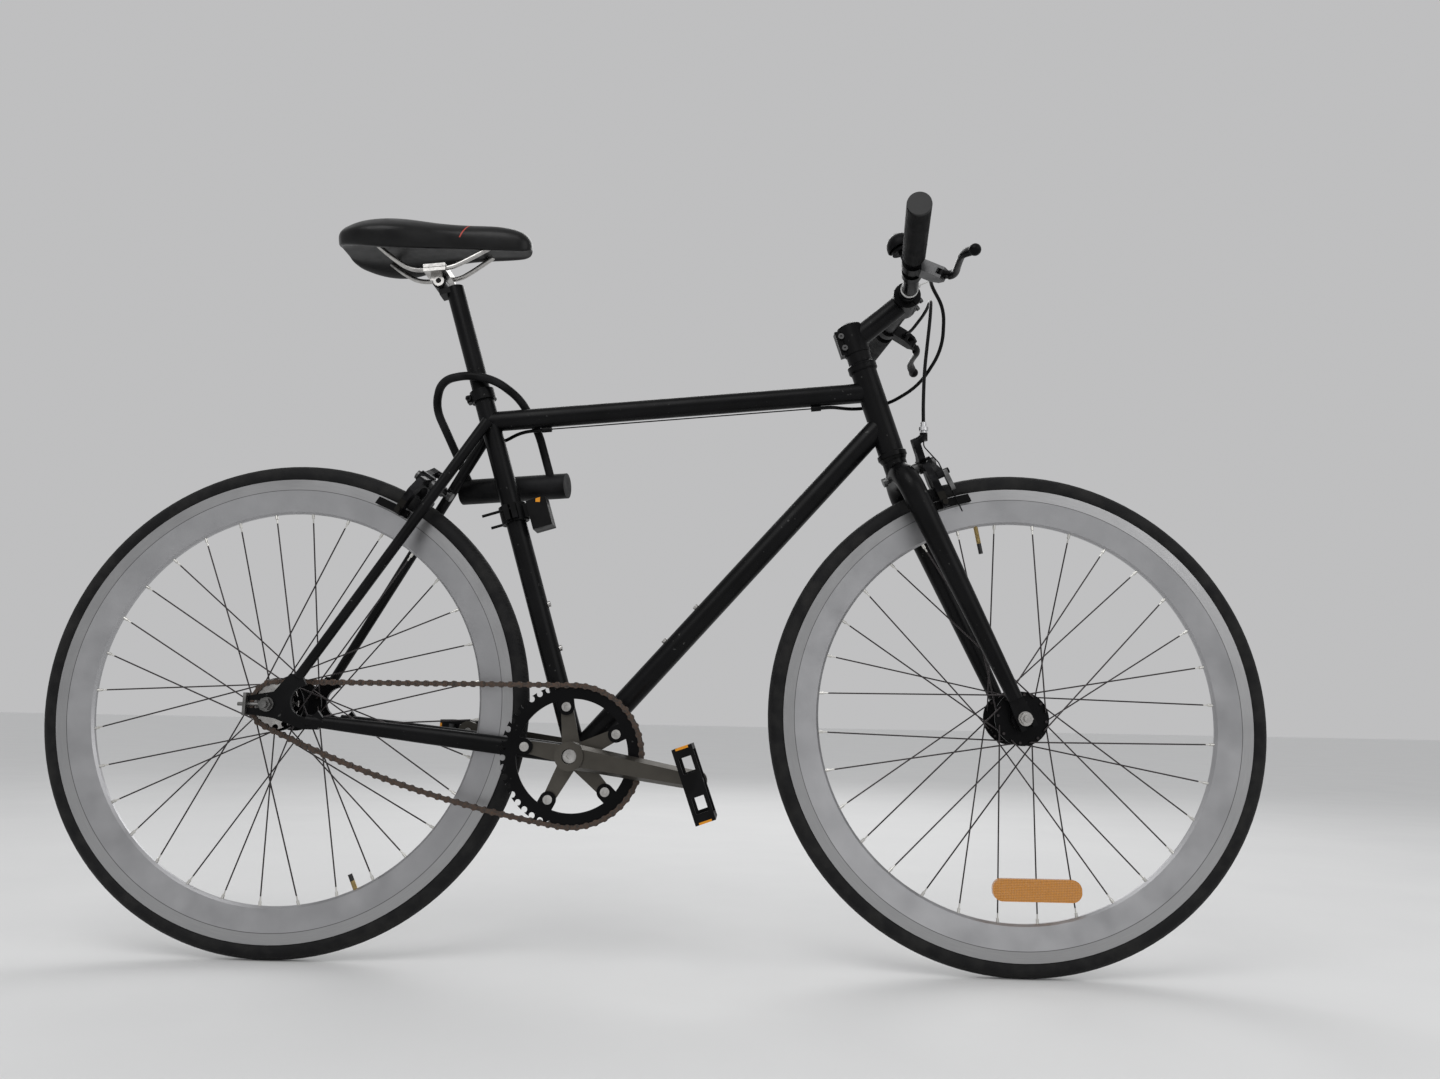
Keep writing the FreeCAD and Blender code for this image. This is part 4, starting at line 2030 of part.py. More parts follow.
def release_shape(brake):
    """A short lever that turns on the anchor's stub."""
    middle = brake.anchor_face + brake.anchor_way * (size("fit_gap") + RELEASE_THICKNESS / 2)
    pivot = brake.spot(ANCHOR_ACROSS, ANCHOR_UP, middle)
    foot = brake.spot(ANCHOR_ACROSS, ANCHOR_UP - RELEASE_LENGTH, middle)
    blade = rounded_bar([pivot, foot], RELEASE_WIDTH, RELEASE_THICKNESS, brake.outward)
    half = brake.outward * RELEASE_THICKNESS
    return blade.cut(bar_shape(pivot - half, pivot + half, ANCHOR_RADIUS + size("running_clearance")))


for prefix, brake, frame_piece in (
    ("front", FRONT_BRAKE, fork_crown), ("rear", REAR_BRAKE, rear_triangle),
):
    bolt = brake_bolt_shape(brake, frame_piece)
    node(feature(prefix + "_brake_bolt", bolt), prefix + "_brake_bolt")
    for side, end_piece in ((-1, barrel_shape), (1, anchor_shape)):
        arm = arm_shape(brake, side)
        pieces = [arm, *shoe_shapes(brake, side, arm), end_piece(brake, arm)]
        arm_name = f"{prefix}_brake_arm_{brake.side_name(side)}"
        node(feature(arm_name, Part.makeCompound(pieces)), arm_name)
    node(feature(prefix + "_brake_release", release_shape(brake)), prefix + "_brake_release")


# Brake cables, held all the way from lever to brake
def station(ahead, across, height):
    """A point by its distance ahead of the rear axle, its place across and its height."""
    return V(ahead - HALF_BASE, across, height)


def cable_start(side):
    """The housing's seat at the lever, and the next point further in along the bar."""
    out, ahead = CABLE_SEAT
    return lever_spot(side, out - CABLE_END_GAP, ahead), lever_spot(side, out - 24, ahead + 3)


def brake_wire(brake, lead):
    """The bare wire from inside the adjuster past the anchor to its free end."""
    foot = brake.barrel_foot()
    layer = brake.anchor_face + brake.anchor_way * 3
    across = ANCHOR_ACROSS + WIRE_BESIDE
    route = [
        foot + brake.barrel_way * (BARREL_LENGTH - 1), foot - brake.barrel_way * 3.5 * LUG_RADIUS,
        brake.spot(across, ANCHOR_UP + lead, layer),
        brake.spot(across, ANCHOR_UP - WIRE_TAIL, layer),
    ]
    return swept(route, size("wire_radius"), WIRE_BEND_RADIUS)


def front_cable_shapes():
    start, inward = cable_start(1)
    end = housing_end(FRONT_BRAKE)
    route = [
        start, inward, station(898, 46, 938), station(899, 6, 944), station(893, -20, 905),
        station(882, -28, 820), end + Z_AXIS * 24, end,
    ]
    housing = swept(route, size("housing_radius"), name="front brake cable")
    return [housing, brake_wire(FRONT_BRAKE, FRONT_WIRE_LEAD)]


def rear_cable_shapes():
    start, inward = cable_start(-1)
    front_guide = guide_centre(FRONT_GUIDE)
    rear_guide = guide_centre(REAR_GUIDE)
    front_mouth = front_guide + TOP_WAY * (GUIDE_LENGTH / 2)
    rear_mouth = rear_guide - TOP_WAY * (GUIDE_LENGTH / 2)
    route = [
        start, inward, station(905, -62, 900), station(906, -40, 850), station(878, -8, 806),
        station(836, 22.5, 786), station(790, 22.5, 778), front_mouth + TOP_WAY * 16, front_mouth,
    ]
    first = swept(route, size("housing_radius"), name="rear brake cable, front")
    wire = bar_shape(front_mouth, rear_mouth, size("wire_radius"))
    end = housing_end(REAR_BRAKE)
    beside = SEAT_JOINT + TOP_WAY * 42 + TOP_UNDER * 16 + Y_AXIS * 10
    back = [
        rear_mouth, beside, station(275, 25, 722), station(244, 33, 724),
        REAR_BRAKE.spot(-29, 75, REAR_BRAKE.barrel_layer),
        end + REAR_BRAKE.barrel_way * 12, end,
    ]
    second = swept(back, size("housing_radius"), name="rear brake cable, back")
    return [first, second, wire.cut([first, second]), brake_wire(REAR_BRAKE, REAR_WIRE_LEAD)]


node(feature("front_brake_cable", Part.makeCompound(front_cable_shapes())), "front_brake_cable")
node(feature("rear_brake_cable", Part.makeCompound(rear_cable_shapes())), "rear_brake_cable")

# Seat collar, seatpost with its head, saddle clamp and rails
COLLAR_BOLT_RADIUS = 2.5
COLLAR_LUG = 9
COLLAR_LUG_HALF = 6.5


def collar_shapes():
    middle = SEAT_TOP - SEAT_UP * (size("collar_height") / 2)
    half = SEAT_UP * (size("collar_height") / 2)
    inner = size("seat_tube_diameter") / 2
    band = bar_shape(middle - half, middle + half, inner + size("collar_wall"))
    lug_axes = axes_placement(middle, SEAT_FORWARD, Y_AXIS)
    lug = box_shape(lug_axes, V(-inner - COLLAR_LUG, -COLLAR_LUG_HALF, -5.5), V(0, COLLAR_LUG_HALF, 5.5))
    bore = bar_shape(middle - half, middle + half, inner)
    slit = box_shape(lug_axes, V(-inner - 20, -1, -20), V(0, 1, 20))
    bolt_spot_back = middle - SEAT_FORWARD * (inner + COLLAR_LUG / 2 + 1)
    bolt_line = (bolt_spot_back + Y_AXIS * COLLAR_LUG_HALF, bolt_spot_back - Y_AXIS * COLLAR_LUG_HALF)
    hole = bar_shape(*bolt_line, COLLAR_BOLT_RADIUS)
    collar = band.fuse(lug).cut([bore, slit, hole]).removeSplitter()
    return [collar, socket_bolt(*bolt_line, COLLAR_BOLT_RADIUS)]


POST_TOP = SEAT_TOP + SEAT_UP * size("post_exposed")
HEAD_CENTRE = POST_TOP + V(2 - size("saddle_setback"), 0, 5)
HEAD_HALF = 13
HEAD_RADIUS = 10
CHEEK_THICKNESS = 4


def seatpost_shape():
    low = SEAT_TOP - SEAT_UP * size("post_insertion")
    radius = size("post_diameter") / 2
    tube = bar_shape(low, POST_TOP, radius)
    bore = bar_shape(low, POST_TOP - SEAT_UP * 20, radius - size("post_wall"))
    head = bar_shape(HEAD_CENTRE - Y_AXIS * HEAD_HALF, HEAD_CENTRE + Y_AXIS * HEAD_HALF, HEAD_RADIUS)
    neck_axes = axes_placement(POST_TOP, SEAT_FORWARD, Y_AXIS)
    neck = box_shape(neck_axes, V(-size("saddle_setback"), -HEAD_HALF + 1, -9), V(5, HEAD_HALF - 1, 0))
    pin_half = HEAD_HALF + size("fit_gap") + CHEEK_THICKNESS
    pin_end = Y_AXIS * pin_half
    pin = bar_shape(HEAD_CENTRE - pin_end, HEAD_CENTRE + pin_end, size("saddle_pin_radius"))
    return tube.cut(bore).fuse([head, neck, pin]).removeSplitter()


node(feature("seat_collar", Part.makeCompound(collar_shapes())), "seat_collar")
node(feature("seatpost", seatpost_shape()), "seatpost")

RAIL_LIFT = 16
RAIL_SLOPE = math.radians(5.5)
RAIL_WAY = V(math.cos(RAIL_SLOPE), 0, math.sin(RAIL_SLOPE))
RAIL_MIDDLE = HEAD_CENTRE + V(-4, 0, RAIL_LIFT)


def rail_shape(side):
    """One rail from the nose's underside, level through the clamp, and up under the wing."""
    half = Y_AXIS * (side * size("rail_spacing") / 2)
    route = [
        RAIL_MIDDLE + V(80, side * 15, 38), RAIL_MIDDLE + V(44, side * 20, 14),
        RAIL_MIDDLE + RAIL_WAY * 24 + half, RAIL_MIDDLE - RAIL_WAY * 36 + half,
        RAIL_MIDDLE + V(-66, side * 31, 16), RAIL_MIDDLE + V(-90, side * 40, 36),
    ]
    return swept(route, size("rail_diameter") / 2, name="saddle rail")


RAILS = [rail_shape(1), rail_shape(-1)]


def saddle_clamp_shapes():
    """Cheeks on the head's pin under a rail tray, with a top plate and its bolt."""
    axes = axes_placement(RAIL_MIDDLE, RAIL_WAY, Y_AXIS)
    upward = axes.Rotation.multVec(Z_AXIS)
    rail_radius = size("rail_diameter") / 2
    wide = size("rail_spacing") / 2 + 7
    seam = 0.4
    tray = box_shape(axes, V(-16, -wide, -rail_radius - 2), V(16, wide, -seam))
    top = box_shape(axes, V(-16, -wide, seam), V(16, wide, rail_radius + 2))
    cheeks = []
    for side in (1, -1):
        inner = side * (HEAD_HALF + size("fit_gap"))
        outer = inner + side * CHEEK_THICKNESS
        low = min(inner, outer)
        plate = Part.makeBox(16, CHEEK_THICKNESS, RAIL_LIFT - 2, HEAD_CENTRE + V(-12, low, 0))
        cheeks.extend([plate, Part.makeCylinder(8, CHEEK_THICKNESS, HEAD_CENTRE + V(0, low, 0), Y_AXIS)])
    pin = bar_shape(
        HEAD_CENTRE - Y_AXIS * wide, HEAD_CENTRE + Y_AXIS * wide,
        size("saddle_pin_radius") + size("running_clearance"),
    )
    head_room = bar_shape(
        HEAD_CENTRE - Y_AXIS * HEAD_HALF, HEAD_CENTRE + Y_AXIS * HEAD_HALF, HEAD_RADIUS + size("fit_gap")
    )
    bolt_line = (RAIL_MIDDLE - upward * (rail_radius + 1), RAIL_MIDDLE + upward * (rail_radius + 2))
    hole = bar_shape(*bolt_line, 3)
    lower = tray.fuse(cheeks).cut([*RAILS, pin, hole, head_room]).removeSplitter()
    return [lower, top.cut([*RAILS, hole]), socket_bolt(*bolt_line, 3, 3)]


node(feature("saddle_clamp", Part.makeCompound(saddle_clamp_shapes() + RAILS)), "saddle_clamp")

# Saddle cushion: stations along its length, each a crowned top with drawn-in sides
# Distance behind the nose, half width, then crown, edge and underside above the rails' middle
SADDLE_STATIONS = (
    (0, 8, 50, 44, 38),
    (5, 14, 58, 46, 34),
    (19, 20, 68, 50, 31),
    (47, 24, 75, 54, 30),
    (97, 29, 74, 52, 30),
    (142, 43, 76, 50, 25),
    (172, 60, 79, 47, 18),
    (207, 72, 80, 44, 15),
    (242, 70, 76, 42, 19),
    (270, 52, 66, 42, 26),
    (281, 30, 54, 44, 32),
)
SADDLE_NOSE = 137
SADDLE_ROOF = 32
DRAWN_IN = 0.12
HOLLOW_LOW = 0.74
HOLLOW_HIGH = 0.62


def saddle_section(back, half_width, crown, edge, under):
    centre = RAIL_MIDDLE + V(SADDLE_NOSE - back, 0, 0)
    inset = half_width * (1 - DRAWN_IN)
    left = centre + V(0, half_width, edge)
    right = centre + V(0, -half_width, edge)
    low_left = centre + V(0, inset, under)
    low_right = centre + V(0, -inset, under)
    return Part.Wire([
        Part.Arc(left, centre + V(0, 0, crown), right).toShape(),
        Part.LineSegment(right, low_right).toShape(),
        Part.LineSegment(low_right, low_left).toShape(),
        Part.LineSegment(low_left, left).toShape(),
    ])


def hollow_section(back, half_width, under):
    """The room under the saddle's wings, open below."""
    centre = RAIL_MIDDLE + V(SADDLE_NOSE - back, 0, 0)
    low = half_width * HOLLOW_LOW
    high = half_width * HOLLOW_HIGH
    floor = min(under, SADDLE_ROOF) - SADDLE_ROOF
    corners = [
        centre + V(0, -low, floor), centre + V(0, low, floor), centre + V(0, high, SADDLE_ROOF),
        centre + V(0, -high, SADDLE_ROOF),
    ]
    return Part.makePolygon(corners + corners[:1])


def saddle_shape():
    cushion = Part.makeLoft([saddle_section(*station) for station in SADDLE_STATIONS], True)
    winged = [row for row in SADDLE_STATIONS if row[4] < SADDLE_STATIONS[3][4]]
    hollow = Part.makeLoft([hollow_section(row[0], row[1], row[4]) for row in winged], True, True)
    return cushion.cut([hollow, *RAILS])


node(feature("saddle", saddle_shape()), "saddle")


# Bottle bolts in their tapped holes
def bottle_bolt(point, outward, tube_radius):
    start = point + outward * (tube_radius - 6)
    return socket_bolt(start, point + outward * tube_radius, size("bottle_bolt_radius"), 3.5)


bottle_bolts = [bottle_bolt(point, way, size("down_tube_diameter") / 2) for point, way in DOWN_BOLTS]
bottle_bolts += [bottle_bolt(point, way, size("seat_tube_diameter") / 2) for point, way in SEAT_BOLTS]
node(feature("bottle_bolts", Part.makeCompound(bottle_bolts)), "bottle_bolts")

# U-lock hung round the seatpost, and its bracket on the seat tube
CROSSBAR_REAR = station(211, 64, 655)
CROSSBAR_FRONT = station(371, 38, 662)


def lock_shapes():
    way = (CROSSBAR_FRONT - CROSSBAR_REAR).normalize()
    route = [
        CROSSBAR_REAR + way * 16, station(199, 45, 717), station(178, 10, 770), station(192, -16, 803),
        station(233, -25, 809), station(271, -20, 803), station(302, 2.7, 783.2), station(318.8, 22.6, 755),
        station(330, 25, 731), CROSSBAR_FRONT - way * 22,
    ]
    bar = bar_shape(CROSSBAR_REAR, CROSSBAR_FRONT, size("crossbar_diameter") / 2)
    bow = swept(route, size("shackle_diameter") / 2, name="lock shackle")
    return bow.cut(bar), bar


shackle, crossbar = lock_shapes()
node(feature("lock_shackle", shackle), "lock_shackle")
node(feature("lock_crossbar", crossbar), "lock_crossbar")

BRACKET_SCREW_RADIUS = 2
BRACKET_SCREW_LENGTH = 40
BRACKET_EAR = 14


def lock_bracket_shapes():
    """Two clamp halves round the seat tube, a holder in front, and two long screws behind."""
    base = seat_point(size("bracket_height"))
    width = size("bracket_width")
    top = base + SEAT_UP * width
    inner = size("seat_tube_diameter") / 2
    axes = axes_placement(base, SEAT_FORWARD, Y_AXIS)
    band = bar_shape(base, top, inner + size("bracket_wall"))
    ears = box_shape(axes, V(-9, -inner - BRACKET_EAR, 2), V(9, inner + BRACKET_EAR, width - 2))
    neck = box_shape(axes, V(inner - 2, -10, 2), V(inner + 12, 8, width - 4))
    holder = box_shape(axes, V(inner + 9, -20, -20), V(inner + 37, 14, 22))
    bore = bar_shape(base, top, inner)
    slit = box_shape(axes, V(-1.5, -60, -1), V(1.5, 60, width + 1))
    screws = []
    for side, level in ((1, 8), (-1, 17)):
        spot = base + SEAT_UP * level + Y_AXIS * (side * (inner + BRACKET_EAR / 2 + 2))
        tip = spot - SEAT_FORWARD * BRACKET_SCREW_LENGTH
        screws.append(bar_shape(tip, spot + SEAT_FORWARD * 9, BRACKET_SCREW_RADIUS))
    clamp = band.fuse([ears, neck, holder]).cut([bore, slit, *screws])
    return clamp.Solids + screws


node(feature("lock_bracket", Part.makeCompound(lock_bracket_shapes())), "lock_bracket")

# Check every object, then write one file for each sub-part
doc.recompute()
for thing in doc.Objects:
    if "Invalid" in thing.State or "Error" in thing.State:
        raise ValueError(f"{thing.Label} failed: {thing.State}")
for thing in nodes:
    if thing.Shape.isNull() or not thing.Shape.isValid() or not thing.Shape.Solids:
        raise ValueError(f"{thing.Label} has no valid shape")
os.makedirs("parts", exist_ok=True)
for thing in nodes:
    thing.Shape.exportStep(f"parts/{thing.Label}.step")
print(len(nodes), "sub-parts written")
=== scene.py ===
import json
import math

import bmesh
import bpy
from mathutils import Matrix, Vector


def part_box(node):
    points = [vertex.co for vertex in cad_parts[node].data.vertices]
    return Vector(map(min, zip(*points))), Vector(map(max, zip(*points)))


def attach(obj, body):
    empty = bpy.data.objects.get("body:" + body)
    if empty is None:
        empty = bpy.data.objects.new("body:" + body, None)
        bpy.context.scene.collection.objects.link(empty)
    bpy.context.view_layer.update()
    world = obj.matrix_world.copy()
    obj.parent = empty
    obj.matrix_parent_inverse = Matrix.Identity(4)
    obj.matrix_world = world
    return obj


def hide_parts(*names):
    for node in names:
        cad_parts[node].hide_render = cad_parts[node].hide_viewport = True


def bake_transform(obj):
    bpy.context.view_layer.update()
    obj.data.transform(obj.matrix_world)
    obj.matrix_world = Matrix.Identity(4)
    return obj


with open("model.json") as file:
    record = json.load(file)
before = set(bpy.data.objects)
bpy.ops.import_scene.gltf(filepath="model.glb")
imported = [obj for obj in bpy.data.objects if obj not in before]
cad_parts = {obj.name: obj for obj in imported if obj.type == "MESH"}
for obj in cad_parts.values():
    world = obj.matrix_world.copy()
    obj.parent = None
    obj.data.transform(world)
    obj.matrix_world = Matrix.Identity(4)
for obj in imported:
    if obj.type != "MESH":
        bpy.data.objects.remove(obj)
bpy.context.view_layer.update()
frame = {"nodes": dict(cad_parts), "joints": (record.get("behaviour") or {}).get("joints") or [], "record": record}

MILLIMETRE = 0.001


def joint_place(name):
    """Where the record puts a joint, in metres."""
    for joint in frame["joints"]:
        if joint["name"] == name:
            return Vector(joint["pos_m"])
    raise ValueError(name)


FRONT_HUB = joint_place("front_wheel_spin")
REAR_HUB = joint_place("rear_wheel_spin")


# Camera at the photograph's place
IMAGE_WIDTH = 1440
FOCAL_PIXELS = 1082
SENSOR_WIDTH = 36
CAMERA_PLACE = Vector((0.1306, -1.5075, 0.3361))
CAMERA_YAW = math.radians(-1.38)
CAMERA_PITCH = math.radians(9.18)
CAMERA_ROLL = math.radians(1.10)


def add_camera():
    forward = Vector((
        math.sin(CAMERA_YAW) * math.cos(CAMERA_PITCH),
        math.cos(CAMERA_YAW) * math.cos(CAMERA_PITCH),
        math.sin(CAMERA_PITCH),
    ))
    level = forward.cross(Vector((0, 0, 1))).normalized()
    upright = level.cross(forward)
    right = level * math.cos(CAMERA_ROLL) + upright * math.sin(CAMERA_ROLL)
    up = upright * math.cos(CAMERA_ROLL) - level * math.sin(CAMERA_ROLL)
    data = bpy.data.cameras.new("camera")
    data.sensor_width = SENSOR_WIDTH
    data.lens = SENSOR_WIDTH * FOCAL_PIXELS / IMAGE_WIDTH
    camera = bpy.data.objects.new("camera", data)
    turn = Matrix((right, up, -forward)).transposed().to_4x4()
    camera.matrix_world = Matrix.Translation(CAMERA_PLACE) @ turn
    bpy.context.scene.collection.objects.link(camera)
    bpy.context.scene.camera = camera


# Places of the colour sockets on a mix node
MIX_AMOUNT = 0
MIX_FIRST = 6
MIX_SECOND = 7
MIX_RESULT = 2


# Short ways to write a material's nodes
class Graph:
    """A material whose textures are placed in metres, in the part's own frame."""

    def __init__(self, name, **sockets):
        self.material = bpy.data.materials.new(name)
        self.material.use_nodes = True
        self.tree = self.material.node_tree
        self.shader = self.tree.nodes["Principled BSDF"]
        for socket, amount in sockets.items():
            self.shader.inputs[socket.replace("_", " ")].default_value = amount
        self.place = self.add("ShaderNodeTexCoord").outputs["Object"]

    def add(self, kind, **settings):
        node = self.tree.nodes.new(kind)
        for name, setting in settings.items():
            setattr(node, name, setting)
        return node

    def feed(self, socket, thing):
        """Links an output to a socket, or sets the socket to a number or colour."""
        if isinstance(thing, bpy.types.NodeSocket):
            self.tree.links.new(thing, socket)
        else:
            socket.default_value = thing

    def math(self, operation, first, second=0.0):
        node = self.add("ShaderNodeMath", operation=operation)
        self.feed(node.inputs[0], first)
        self.feed(node.inputs[1], second)
        return node.outputs[0]

    def noise(self, scale, detail=3.0, vector=None):
        node = self.add("ShaderNodeTexNoise")
        self.feed(node.inputs["Vector"], vector or self.place)
        node.inputs["Scale"].default_value = scale
        node.inputs["Detail"].default_value = detail
        return node.outputs["Fac"]

    def cells(self, scale, vector=None):
        node = self.add("ShaderNodeTexVoronoi")
        self.feed(node.inputs["Vector"], vector or self.place)
        node.inputs["Scale"].default_value = scale
        return node.outputs["Distance"]

    def spread(self, value, low, high, out_low=0.0, out_high=1.0):
        """A value's range mapped to another, and held at its ends."""
        node = self.add("ShaderNodeMapRange")
        self.feed(node.inputs["Value"], value)
        limits = (low, high, out_low, out_high)
        for socket, limit in zip(("From Min", "From Max", "To Min", "To Max"), limits):
            node.inputs[socket].default_value = limit
        return node.outputs["Result"]

    def mix(self, amount, first, second):
        node = self.add("ShaderNodeMix", data_type="RGBA")
        self.feed(node.inputs[MIX_AMOUNT], amount)
        self.feed(node.inputs[MIX_FIRST], first)
        self.feed(node.inputs[MIX_SECOND], second)
        return node.outputs[MIX_RESULT]

    def apart(self, vector=None):
        """The three coordinates of a point."""
        node = self.add("ShaderNodeSeparateXYZ")
        self.feed(node.inputs[0], vector or self.place)
        return node.outputs[0], node.outputs[1], node.outputs[2]

    def shifted(self, centre):
        node = self.add("ShaderNodeVectorMath", operation="SUBTRACT")
        self.feed(node.inputs[0], self.place)
        node.inputs[1].default_value = centre
        return node.outputs[0]

    def wheel(self, centre):
        """Radius and angle round a wheel's axle."""
        x, _, z = self.apart(self.shifted(centre))
        radius = self.math("SQRT", self.math("ADD", self.math("MULTIPLY", x, x), self.math("MULTIPLY", z, z)))
        return radius, self.math("ARCTAN2", z, x)

    def bump(self, height, distance, strength=1.0):
        node = self.add("ShaderNodeBump")
        node.inputs["Distance"].default_value = distance
        node.inputs["Strength"].default_value = strength
        self.feed(node.inputs["Height"], height)
        self.feed(self.shader.inputs["Normal"], node.outputs["Normal"])

    def base(self, colour):
        self.feed(self.shader.inputs["Base Color"], colour)

    def rough(self, amount):
        self.feed(self.shader.inputs["Roughness"], amount)


def rgb(red, green, blue):
    return (red, green, blue, 1.0)


WHITE_SCUFF = rgb(0.07, 0.07, 0.068)
DULL_SHINE = 0.11
BLACK = rgb(0.0018, 0.0018, 0.002)
CHARCOAL = rgb(0.005, 0.005, 0.0055)
BRASS = rgb(0.42, 0.29, 0.1)


def worn_paint(name, dark, light, rough=(0.27, 0.4), metallic=0.0, scuffs=0.6):
    """A painted or anodised skin with dust, faint orange peel and a few scuffs."""
    graph = Graph(name, Metallic=metallic, Specular_IOR_Level=DULL_SHINE)
    clouds = graph.noise(14.0, 5.0)
    scuff = graph.spread(graph.noise(160.0, 2.0), 0.71, 0.76, 0.0, scuffs)
    skin = graph.mix(graph.spread(clouds, 0.35, 0.7), dark, light)
    graph.base(graph.mix(scuff, skin, WHITE_SCUFF))
    graph.rough(graph.spread(graph.noise(35.0, 4.0), 0.3, 0.7, *rough))
    graph.bump(graph.noise(900.0, 2.0), 0.00006)
    return graph.material


def bare_metal(name, dark, light, rough=(0.25, 0.42)):
    """Turned or drawn metal with fine lines and a little tarnish."""
    graph = Graph(name, Metallic=1.0)
    graph.base(graph.mix(graph.spread(graph.noise(60.0, 5.0), 0.35, 0.7), dark, light))
    graph.rough(graph.spread(graph.noise(220.0, 3.0), 0.3, 0.7, *rough))
    graph.bump(graph.noise(1500.0, 2.0), 0.00003)
    return graph.material


def moulded(name, dark, light, rough=(0.5, 0.68), grain=1400.0, depth=0.00008):
    """Plastic or rubber with a moulded grain and a dusty bloom."""
    graph = Graph(name, Specular_IOR_Level=DULL_SHINE)
    graph.base(graph.mix(graph.spread(graph.noise(25.0, 5.0), 0.4, 0.7), dark, light))
    graph.rough(graph.spread(graph.noise(60.0, 3.0), 0.3, 0.7, *rough))
    graph.bump(graph.cells(grain), depth)
    return graph.material


RIM_EDGE = 0.317
TRACK_HEIGHT = 0.015
TRACK_LINE = 0.0007
LATHE_LINES = 2600.0
LATHE_STRETCH = 0.004


def rim_metal(name, hub):
    """Satin rim: a machined brake track outside, a lathe-turned deep section inside it, and a thin dark line of
    painted groove shade between them.
    """
    graph = Graph(name, Metallic=1.0)
    radius, angle = graph.wheel(hub)
    track = graph.spread(radius, RIM_EDGE - TRACK_HEIGHT - TRACK_LINE, RIM_EDGE - TRACK_HEIGHT)
    # Painted shade: a thin dark line along the brake track's inner edge stands in for the shadow in the groove
    # there.
    groove_shade_distance = graph.math("ABSOLUTE", graph.math("SUBTRACT", radius, RIM_EDGE - TRACK_HEIGHT))
    groove_shade = graph.spread(groove_shade_distance, 0.0, TRACK_LINE, 1.0, 0.0)
    lathe_place = graph.add("ShaderNodeCombineXYZ")
    graph.feed(lathe_place.inputs[0], radius)
    graph.feed(lathe_place.inputs[1], graph.math("MULTIPLY", angle, LATHE_STRETCH))
    lines = graph.noise(LATHE_LINES, 2.0, lathe_place.outputs[0])
    stains = graph.noise(22.0, 6.0)
    satin = graph.mix(graph.spread(stains, 0.3, 0.75), rgb(0.37, 0.37, 0.38), rgb(0.43, 0.43, 0.44))
    milled = graph.mix(lines, rgb(0.3, 0.3, 0.31), rgb(0.44, 0.44, 0.44))
    skin = graph.mix(track, satin, milled)
    # The near-black colour laid over the skin here is painted groove shade, not the metal's own colour.
    graph.base(graph.mix(groove_shade, skin, rgb(0.08, 0.08, 0.08)))
    graph.rough(graph.spread(stains, 0.3, 0.7, 0.3, 0.44))
    graph.bump(graph.math("MULTIPLY", lines, graph.spread(track, 0, 1, 0.4, 1.0)), 0.00004)
    return graph.material


TREAD_RADIUS = 0.333
TREAD_CUTS = 320
TREAD_SLANT = 900.0
TREAD_EDGE = 0.001
WALL_RINGS = 3600.0


def tyre_rubber(name, hub):
    """Charcoal road tyre: fine slanted tread cuts, a greyer sidewall and road dust."""
    graph = Graph(name, Specular_IOR_Level=DULL_SHINE)
    radius, angle = graph.wheel(hub)
    _, across, _ = graph.apart(graph.shifted(hub))
    tread = graph.spread(radius, TREAD_RADIUS - TREAD_EDGE, TREAD_RADIUS + TREAD_EDGE)
    turned = graph.math("MULTIPLY", angle, TREAD_CUTS)
    slant = graph.math("ADD", turned, graph.math("MULTIPLY", across, TREAD_SLANT))
    cuts = graph.spread(graph.math("SINE", slant), 0.5, 0.85)
    rings = graph.spread(graph.math("SINE", graph.math("MULTIPLY", radius, WALL_RINGS)), 0.2, 0.9)
    dust = graph.spread(graph.noise(45.0, 6.0), 0.42, 0.72, 0.0, 0.7)
    wall = graph.mix(dust, rgb(0.009, 0.009, 0.0095), rgb(0.026, 0.0255, 0.0245))
    crown = graph.mix(dust, rgb(0.011, 0.011, 0.0115), rgb(0.026, 0.0255, 0.0245))
    graph.base(graph.mix(tread, wall, crown))
    graph.rough(graph.spread(dust, 0.0, 0.7, 0.55, 0.85))
    cut_depth = graph.math("MULTIPLY", graph.math("MULTIPLY", tread, cuts), -1.0)
    wall_part = graph.math("SUBTRACT", 1.0, tread)
    ring_depth = graph.math("MULTIPLY", wall_part, graph.math("MULTIPLY", rings, 0.2))
    graph.bump(graph.math("ADD", cut_depth, ring_depth), 0.0006)
    return graph.material


RIM_DEPTH = 0.048
NIPPLE_LENGTH = 0.0118
NIPPLE_EDGE = 0.0003
RIM_NOSE_RADIUS = RIM_EDGE - RIM_DEPTH
NIPPLE_START = RIM_NOSE_RADIUS - NIPPLE_LENGTH


def spoke_metal(name, hub):
    """Dark spokes with silver nipples at the rim."""
    graph = Graph(name, Metallic=0.85)
    radius, _ = graph.wheel(hub)
    nipple = graph.spread(radius, NIPPLE_START - NIPPLE_EDGE, NIPPLE_START)
    stains = graph.noise(120.0, 3.0)
    wire = graph.mix(stains, rgb(0.025, 0.022, 0.024), rgb(0.07, 0.062, 0.062))
    graph.base(graph.mix(nipple, wire, rgb(0.62, 0.61, 0.58)))
    graph.rough(graph.spread(stains, 0.3, 0.7, 0.28, 0.42))
    return graph.material


